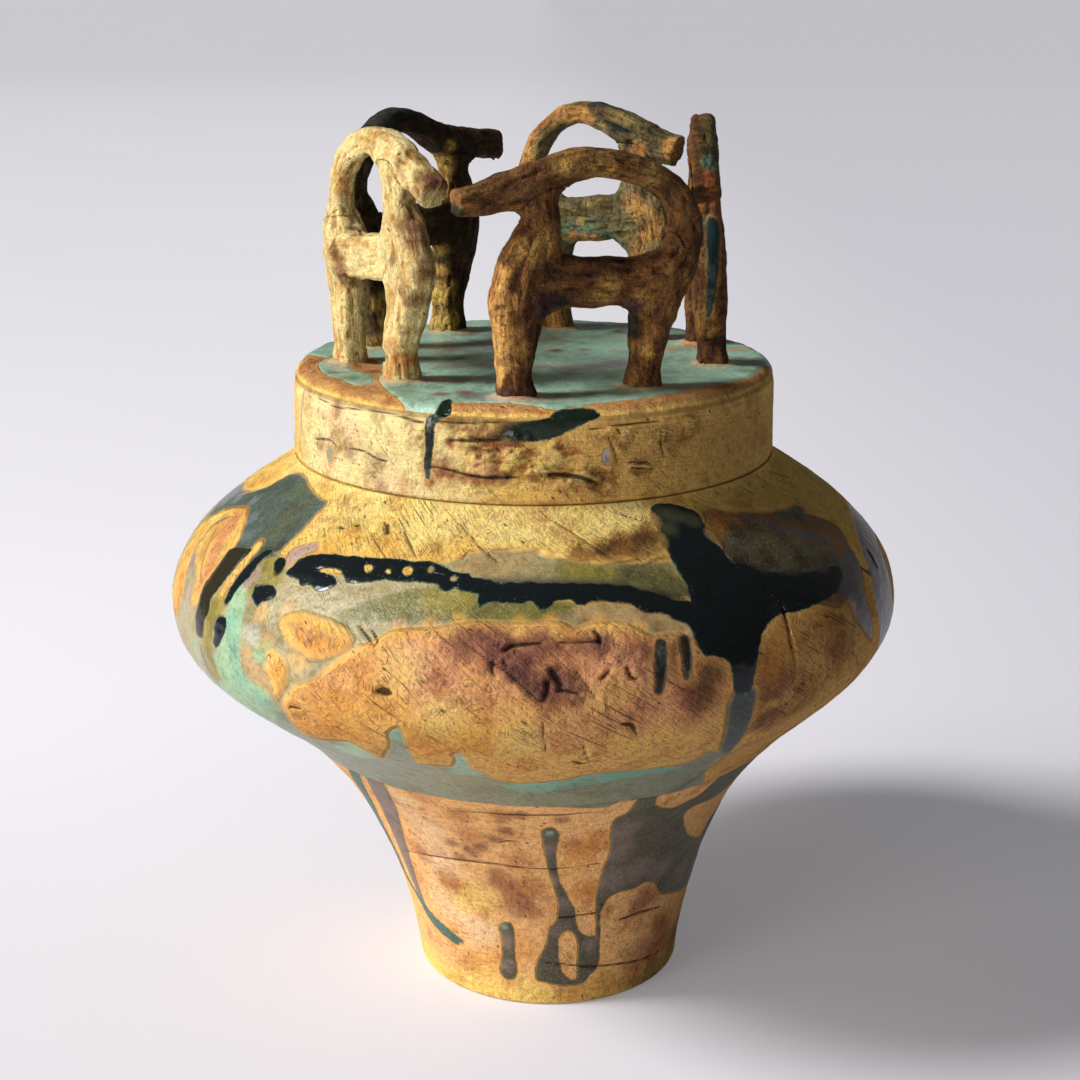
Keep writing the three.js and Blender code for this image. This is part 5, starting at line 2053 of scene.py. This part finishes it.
def beside(start, end, along, up):
    """For points beside a stretch of a bar: its length, and their share along it, that share held
    between its ends, mm off to its side and mm from it."""
    step = end[:2] - start[:2]
    length = np.hypot(*step)
    share = ((along - start[0]) * step[0] + (up - start[1]) * step[1]) / length**2
    held = np.clip(share, 0, 1)
    aside = ((along - start[0]) * step[1] - (up - start[1]) * step[0]) / length
    gap = np.hypot(along - start[0] - held * step[0], up - start[1] - held * step[1])
    return length, share, held, aside, gap


def bar_field(stations, along, up, across):
    """About how many mm each point of a grid lies outside a bar with two flat ends."""
    path = curved(stations, False)
    nearest = np.full(along.shape, VERY_FAR)
    aside, beyond = np.zeros(along.shape), np.full(along.shape, -VERY_FAR)
    deep, wide = np.ones(along.shape), np.ones(along.shape)
    last = len(path) - 2
    for number, (start, end) in enumerate(zip(path[:-1], path[1:])):
        length, share, held, square, gap = beside(start, end, along, up)
        past = np.full(along.shape, -VERY_FAR)
        if number == 0:
            past = -share * length
        if number == last:
            past = np.maximum(past, (share - 1) * length)
        closer = gap < nearest
        nearest = np.where(closer, gap, nearest)
        aside = np.where(closer, np.where(past > 0, np.abs(square), gap), aside)
        beyond = np.where(closer, past, beyond)
        deep = np.where(closer, start[2] + held * (end[2] - start[2]), deep)
        wide = np.where(closer, start[3] + held * (end[3] - start[3]), wide)
    flat = (aside / deep)[:, :, None]**FLAT_SIDES + np.abs(across / wide[:, :, None])**FLAT_SIDES
    outside = (flat**(1 / FLAT_SIDES) - 1) * np.minimum(deep, wide)[:, :, None]
    return -melt(-outside, -beyond[:, :, None], 0.8)


def melt(first, second, width):
    """The smaller of two fields, with the join filled out over `width` mm."""
    share = np.clip(1 - np.abs(first - second) / width, 0, 1)
    return np.minimum(first, second) - share * share * width / 4


def surface_of(field, low, spacing):
    """Points and faces of the surface on which a grid of numbers is 0, with the inside below 0."""
    inside = field < 0
    cells = tuple(size - 1 for size in field.shape)
    total, count = np.zeros((*cells, 3)), np.zeros(cells)
    edges = []
    for axis in range(3):
        first, second = [slice(None)] * 3, [slice(None)] * 3
        first[axis], second[axis] = slice(0, -1), slice(1, None)
        here, there = field[tuple(first)], field[tuple(second)]
        crossed = inside[tuple(first)] != inside[tuple(second)]
        share = np.where(crossed, here / np.where(crossed, here - there, 1), 0)
        edges.append((crossed, inside[tuple(first)]))
        u, v = (axis + 1) % 3, (axis + 2) % 3
        for du, dv in np.ndindex(2, 2):
            part = [slice(None)] * 3
            part[u], part[v] = slice(du, du + cells[u]), slice(dv, dv + cells[v])
            hit = crossed[tuple(part)]
            count += hit
            total[..., axis] += share[tuple(part)]
            total[..., u] += hit * du
            total[..., v] += hit * dv
    used = count > 0
    index = np.full(cells, -1)
    index[used] = np.arange(used.sum())
    points = low + spacing * (np.argwhere(used) + total[used] / count[used][:, None])
    faces = []
    for axis, (crossed, starts_inside) in enumerate(edges):
        u, v = (axis + 1) % 3, (axis + 2) % 3
        at = np.argwhere(crossed)
        at = at[(at[:, u] > 0) & (at[:, v] > 0) & (at[:, u] < cells[u]) & (at[:, v] < cells[v])]
        corners = []
        for du, dv in ((1, 1), (0, 1), (0, 0), (1, 0)):
            moved = at.copy()
            moved[:, u] -= du
            moved[:, v] -= dv
            corners.append(index[tuple(moved.T)])
        quads = np.stack(corners, axis=1)
        outward = starts_inside[tuple(at.T)]
        faces.append(np.where(outward[:, None], quads, quads[:, ::-1]))
    return points, np.concatenate(faces)


def place_on_limbs(along, up, across, bars):
    """(mm along the nearest limb, mm round it) for each point, so that marks follow the limbs."""
    nearest = np.full(len(along), VERY_FAR)
    place = np.zeros((len(along), 3))
    begun = 0
    for bar in bars:
        path = curved(bar, False, 2)
        for start, end in zip(path[:-1], path[1:]):
            length, _, held, aside, gap = beside(start, end, along, up)
            gap = gap / start[2]
            closer = gap < nearest
            nearest = np.minimum(nearest, gap)
            round_it = np.arctan2(across, aside) * (start[2] + start[3]) / 2
            found = np.column_stack([begun + held * length, round_it, 0 * along])
            place[closer] = found[closer]
            begun += length
        begun += 40
    return place


def figure_surfaces(name, seed):
    """(part, points, faces) of a figure's body and horn, in (along, up, across)."""
    form = FORMS[name]
    bars, horn = figure_bars(name)
    axes = [np.arange(low, high, GRID) for low, high in zip(GRID_LOW, GRID_HIGH)]
    along, up = np.meshgrid(axes[0], axes[1], indexing="ij")
    shift = up / LEAN_HEIGHT * (form["lean"] + form["twist"] * along)
    across = axes[2][None, None, :] - shift[:, :, None]
    hind, spine, fore = (bar_field(bar, along, up, across) for bar in bars)
    body = melt(melt(hind, spine, 5.5), fore, 5.5)
    strip = bar_field(horn, along, up, across)
    whole = melt(body, strip, 5)
    split = (strip - body) / 2

    close = np.abs(whole) < 3
    spots = np.argwhere(close) * GRID + GRID_LOW
    limbs = place_on_limbs(spots[:, 0], spots[:, 1], across[close], bars + [horn])
    lap = np.exp(-(split[close] / 0.6)**2) * blend_step(-0.1, 0.4, noise(spots, 9, seed + 4))
    whole[close] -= carving(spots, limbs, seed) - 0.6 * lap - 0.15
    whole = np.maximum(whole, -0.25 - up[:, :, None])
    return [("body", *surface_of(np.maximum(whole, 0.02 - split), GRID_LOW, GRID)),
            ("horn", *surface_of(np.maximum(whole, split + 0.02), GRID_LOW, GRID))]


def carving(spots, limbs, seed):
    """mm that hands and a knife left standing out, in long strokes down the limbs."""
    stand = 0.6 * noise(spots, 13, seed) + 0.4 * layered_noise(spots, 5, 2, seed + 1)
    stand += 0.45 * layered_noise(limbs * (0.16, 1, 1), 3.2, 2, seed + 2)
    return stand - 0.6 * blend_step(0.2, 0.55, noise(limbs * (0.3, 1, 1), 2.2, seed + 3))


def paint_figure(skin, name, limbs, seed):
    streaky = layered_noise(limbs * (0.2, 1, 1), 2.6, 3, seed + 5)
    uneven = 0.6 * layered_noise(skin.points, 5, 3, FIGURE_TINT_SEED) + 0.7 * streaky
    look = FIGURE_LOOKS[name]
    clay = np.tile(look["ground"], (len(skin.a), 1))
    clay = dab_clay(skin, clay, uneven, look["dabs"])
    foot, ahead, aside = figure_frame(name)
    level = skin.points[:, :2] - foot
    stand = carving(np.column_stack([level @ ahead, skin.b, level @ aside]), limbs, seed)
    # Painted shade in the carved hollows and a painted highlight on the raised ridges
    hollow_shade = clay * np.array(look["hollow_shade"])
    clay = blend(clay, hollow_shade, 0.85 * blend_step(0.15, -0.55, stand + 0.7 * streaky))
    highlit_ridges = 0.4 * clay + 0.6 * BUFF * look["ridge_highlight"]
    clay = blend(clay, highlit_ridges, 0.7 * blend_step(0.1, 0.8, stand + 0.5 * streaky))
    wash, dark = Coat(skin, STONE, uneven, 0.5), Coat(skin, BLACK, uneven, 0.4)
    wash.lay(look.get("wash", ()))
    dark.lay(look.get("dark", ()))
    return skin_values(clay, wash, dark)


def build_figures(material, pale_material):
    for number, name in enumerate(FIGURES):
        seed = FIGURE_SEED + FIGURE_SEED_STEP * number
        foot, ahead, aside = figure_frame(name)
        bars, horn = figure_bars(name)
        for part, flat, faces in figure_surfaces(name, seed):
            along, up, across = flat.T
            level = foot + along[:, None] * ahead + across[:, None] * aside
            points = np.column_stack([level, up + LID_TOP])
            mesh = make_mesh(f"{name}_{part}_clay", points, faces)
            normals = vertex_normals(mesh).astype(float)
            if name == EDGE_ON:
                seen, chart = seen_facing(name), points[:, 0]
            else:
                seen, chart = seen_on_figure(name), along
            skin = Skin(points, normals, chart, up, np.ones(len(points)), False, seen)
            limbs = place_on_limbs(along, up, across, bars + [horn])
            values = paint_figure(skin, name, limbs, seed)
            values["place"] = limbs
            for key, value in values.items():
                store(mesh, key, value)
            node = f"{name}_{part}"
            own_material = pale_material if name in PALE_FIGURES else material
            place_piece(mesh, "lid", [node], own_material)


# Floor, light and camera

FLOOR_RADIUS = 60
FLOOR_SIDES = 96
FLOOR_GLOW = 0.17
FLOOR_ROUGHNESS = 0.9
FLOOR_GREY = colour(216, 216, 224)
FLOOR_PALE = colour(222, 222, 230)

# Painted shade: the floor turns darker to the right, far off and near the camera, as the light falls off. In
# metres along an axis: (axis, low, high, their shares, colour)
FLOOR_FALLOFF_SHADE = (
    ("X", -0.2, 0.5, 0, 0.85, colour(184, 184, 194)),
    ("Y", 1.0, 9.0, 0, 0.6, colour(176, 176, 184)),
    ("Y", -0.12, 0.3, 0.7, 0, colour(184, 184, 192)),
)

# The window light comes from the left, a little in front of the urn
WINDOW_BEARING = 78
WINDOW_RISE = 43
WINDOW_SOFTNESS = 15
WINDOW_STRENGTH = 3.3
PANE_POWER = 6
REFLECTOR_POWER = 22
SKY_STRENGTH = 0.1
SKY_COLOUR = (1.0, 0.95, 0.88)
WALL_GREY = colour(216, 215, 219)
FARTHEST_SEEN = 200


def build_stage():
    mesh = bpy.data.meshes.new("floor")
    turns = np.linspace(0, 2 * math.pi, FLOOR_SIDES, endpoint=False)
    ring = [(FLOOR_RADIUS * math.cos(turn), FLOOR_RADIUS * math.sin(turn), 0) for turn in turns]
    mesh.from_pydata(ring, [], [list(range(FLOOR_SIDES))])
    floor = add_object("floor", mesh)
    g = Graph("floor_paper")
    shader = g.node("ShaderNodeBsdfPrincipled")
    axes = g.node("ShaderNodeSeparateXYZ")
    g.fill(axes.inputs[0], g.where)
    shade = g.mix(g.noise(400, detail=2), FLOOR_GREY, FLOOR_PALE)
    # Painted shade laid over the paper's colour, as the light falls off
    for axis, low, high, start, end, darker in FLOOR_FALLOFF_SHADE:
        shade = g.mix(g.step(axes.outputs[axis], low, high, start, end), shade, darker)
    g.fill(shader.inputs["Base Color"], shade)
    shader.inputs["Roughness"].default_value = FLOOR_ROUGHNESS
    paths = g.node("ShaderNodeLightPath")
    seen = g.math("MAXIMUM", paths.outputs["Is Camera Ray"], paths.outputs["Is Glossy Ray"])
    shader.inputs["Emission Color"].default_value = (0.93, 0.93, 1.0, 1)
    g.fill(shader.inputs["Emission Strength"], g.times(seen, FLOOR_GLOW))
    g.fill(g.node("ShaderNodeOutputMaterial").inputs["Surface"], shader.outputs["BSDF"])
    mesh.materials.append(g.material)
    floor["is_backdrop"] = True


def add_light(name, kind, power, shade):
    data = bpy.data.lights.new(name, kind)
    data.energy = power
    data.color = shade
    return add_object(name, data)


def area_light(name, place, aim, size, power, shade):
    lamp = add_light(name, "AREA", power, shade)
    lamp.data.shape = "DISK"
    lamp.data.size = size
    lamp.location = place
    east, north, upward = np.array(aim) - np.array(place)
    turn = math.atan2(north, east) - math.pi / 2
    lamp.rotation_euler = (math.atan2(math.hypot(east, north), -upward), 0, turn)


def sun_light(name, bearing, rise, softness, strength, shade):
    """Even light from a bearing in degrees left of the front and a height in degrees."""
    lamp = add_light(name, "SUN", strength, shade)
    lamp.data.angle = math.radians(softness)
    lamp.rotation_euler = (math.radians(90 - rise), 0, -math.radians(bearing))


def build_light():
    sun_light("window", WINDOW_BEARING, WINDOW_RISE, WINDOW_SOFTNESS, WINDOW_STRENGTH, (1.0, 0.98, 0.95))
    area_light("window_pane", (-1.25, -0.3, 0.95), (0, 0, 0.14), 0.5, PANE_POWER, (1.0, 0.98, 0.96))
    area_light("low_reflector", (-1.0, -0.85, 0.06), (0, 0, 0.08), 0.9, REFLECTOR_POWER, (1.0, 0.95, 0.9))
    world = bpy.data.worlds.new("studio")
    bpy.context.scene.world = world
    world.use_nodes = True
    tree = world.node_tree
    background = tree.nodes["Background"]
    background.inputs["Color"].default_value = (*SKY_COLOUR, 1)
    background.inputs["Strength"].default_value = SKY_STRENGTH
    paths = tree.nodes.new("ShaderNodeLightPath")
    wall = tree.nodes.new("ShaderNodeBackground")
    wall.inputs["Color"].default_value = (*WALL_GREY, 1)
    chosen = tree.nodes.new("ShaderNodeMixShader")
    tree.links.new(paths.outputs["Is Camera Ray"], chosen.inputs[0])
    tree.links.new(background.outputs[0], chosen.inputs[1])
    tree.links.new(wall.outputs[0], chosen.inputs[2])
    tree.links.new(chosen.outputs[0], tree.nodes["World Output"].inputs["Surface"])


def build_camera():
    data = bpy.data.cameras.new("photograph")
    data.sensor_width = SENSOR_MM
    data.sensor_fit = "AUTO"
    data.lens = FOCAL_PIXELS * SENSOR_MM / (2 * PHOTO_MIDDLE)
    data.clip_end = FARTHEST_SEEN
    camera = add_object("photograph", data)
    camera.location = CAMERA_PLACE * MM
    camera.rotation_euler = (math.pi / 2 - CAMERA_PITCH, 0, 0)
    bpy.context.scene.camera = camera


build_camera()
belly_stoneware = FiredClay("belly_stoneware", scoring=0.85)
foot_stoneware = FiredClay("foot_stoneware", scoring=0.3, wash_rough=0.45, grit=0.7, drag=(3, 12, 1.2),
                           halo=1.6, rim=0.6)
lid_stoneware = FiredClay("lid_stoneware", scoring=0.4, grit=1.2, drag=(0, 9, 0.8), halo=1.5, rim=0.5)
lid_celadon = FiredClay("lid_celadon", scoring=0.1, wash_rough=0.34, grit=0.9, drag=(0, 12, 1),
                        halo=1.5, rim=0.5)
figure_stoneware = FiredClay("figure_stoneware", scoring=0.2, grit=1.3, wash_rough=0.35, drag=(0, 8, 1.1),
                             halo=1.5, rim=0.6, mottle=0.75)
pale_stoneware = FiredClay("pale_stoneware", scoring=0.4, grit=1.3, drag=(0, 8, 1.1), halo=1.5, rim=0.6,
                           mottle=0.12)
build_foot(foot_stoneware.material)
build_belly(belly_stoneware.material)
build_collar(lid_stoneware.material)
build_lid(lid_stoneware.material, lid_celadon.material)
build_figures(figure_stoneware.material, pale_stoneware.material)
build_stage()
build_light()
bpy.context.scene.view_settings.view_transform = "Standard"

corners = [[list(map(float, corner)) for corner in box] for box in (cad_box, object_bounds())]
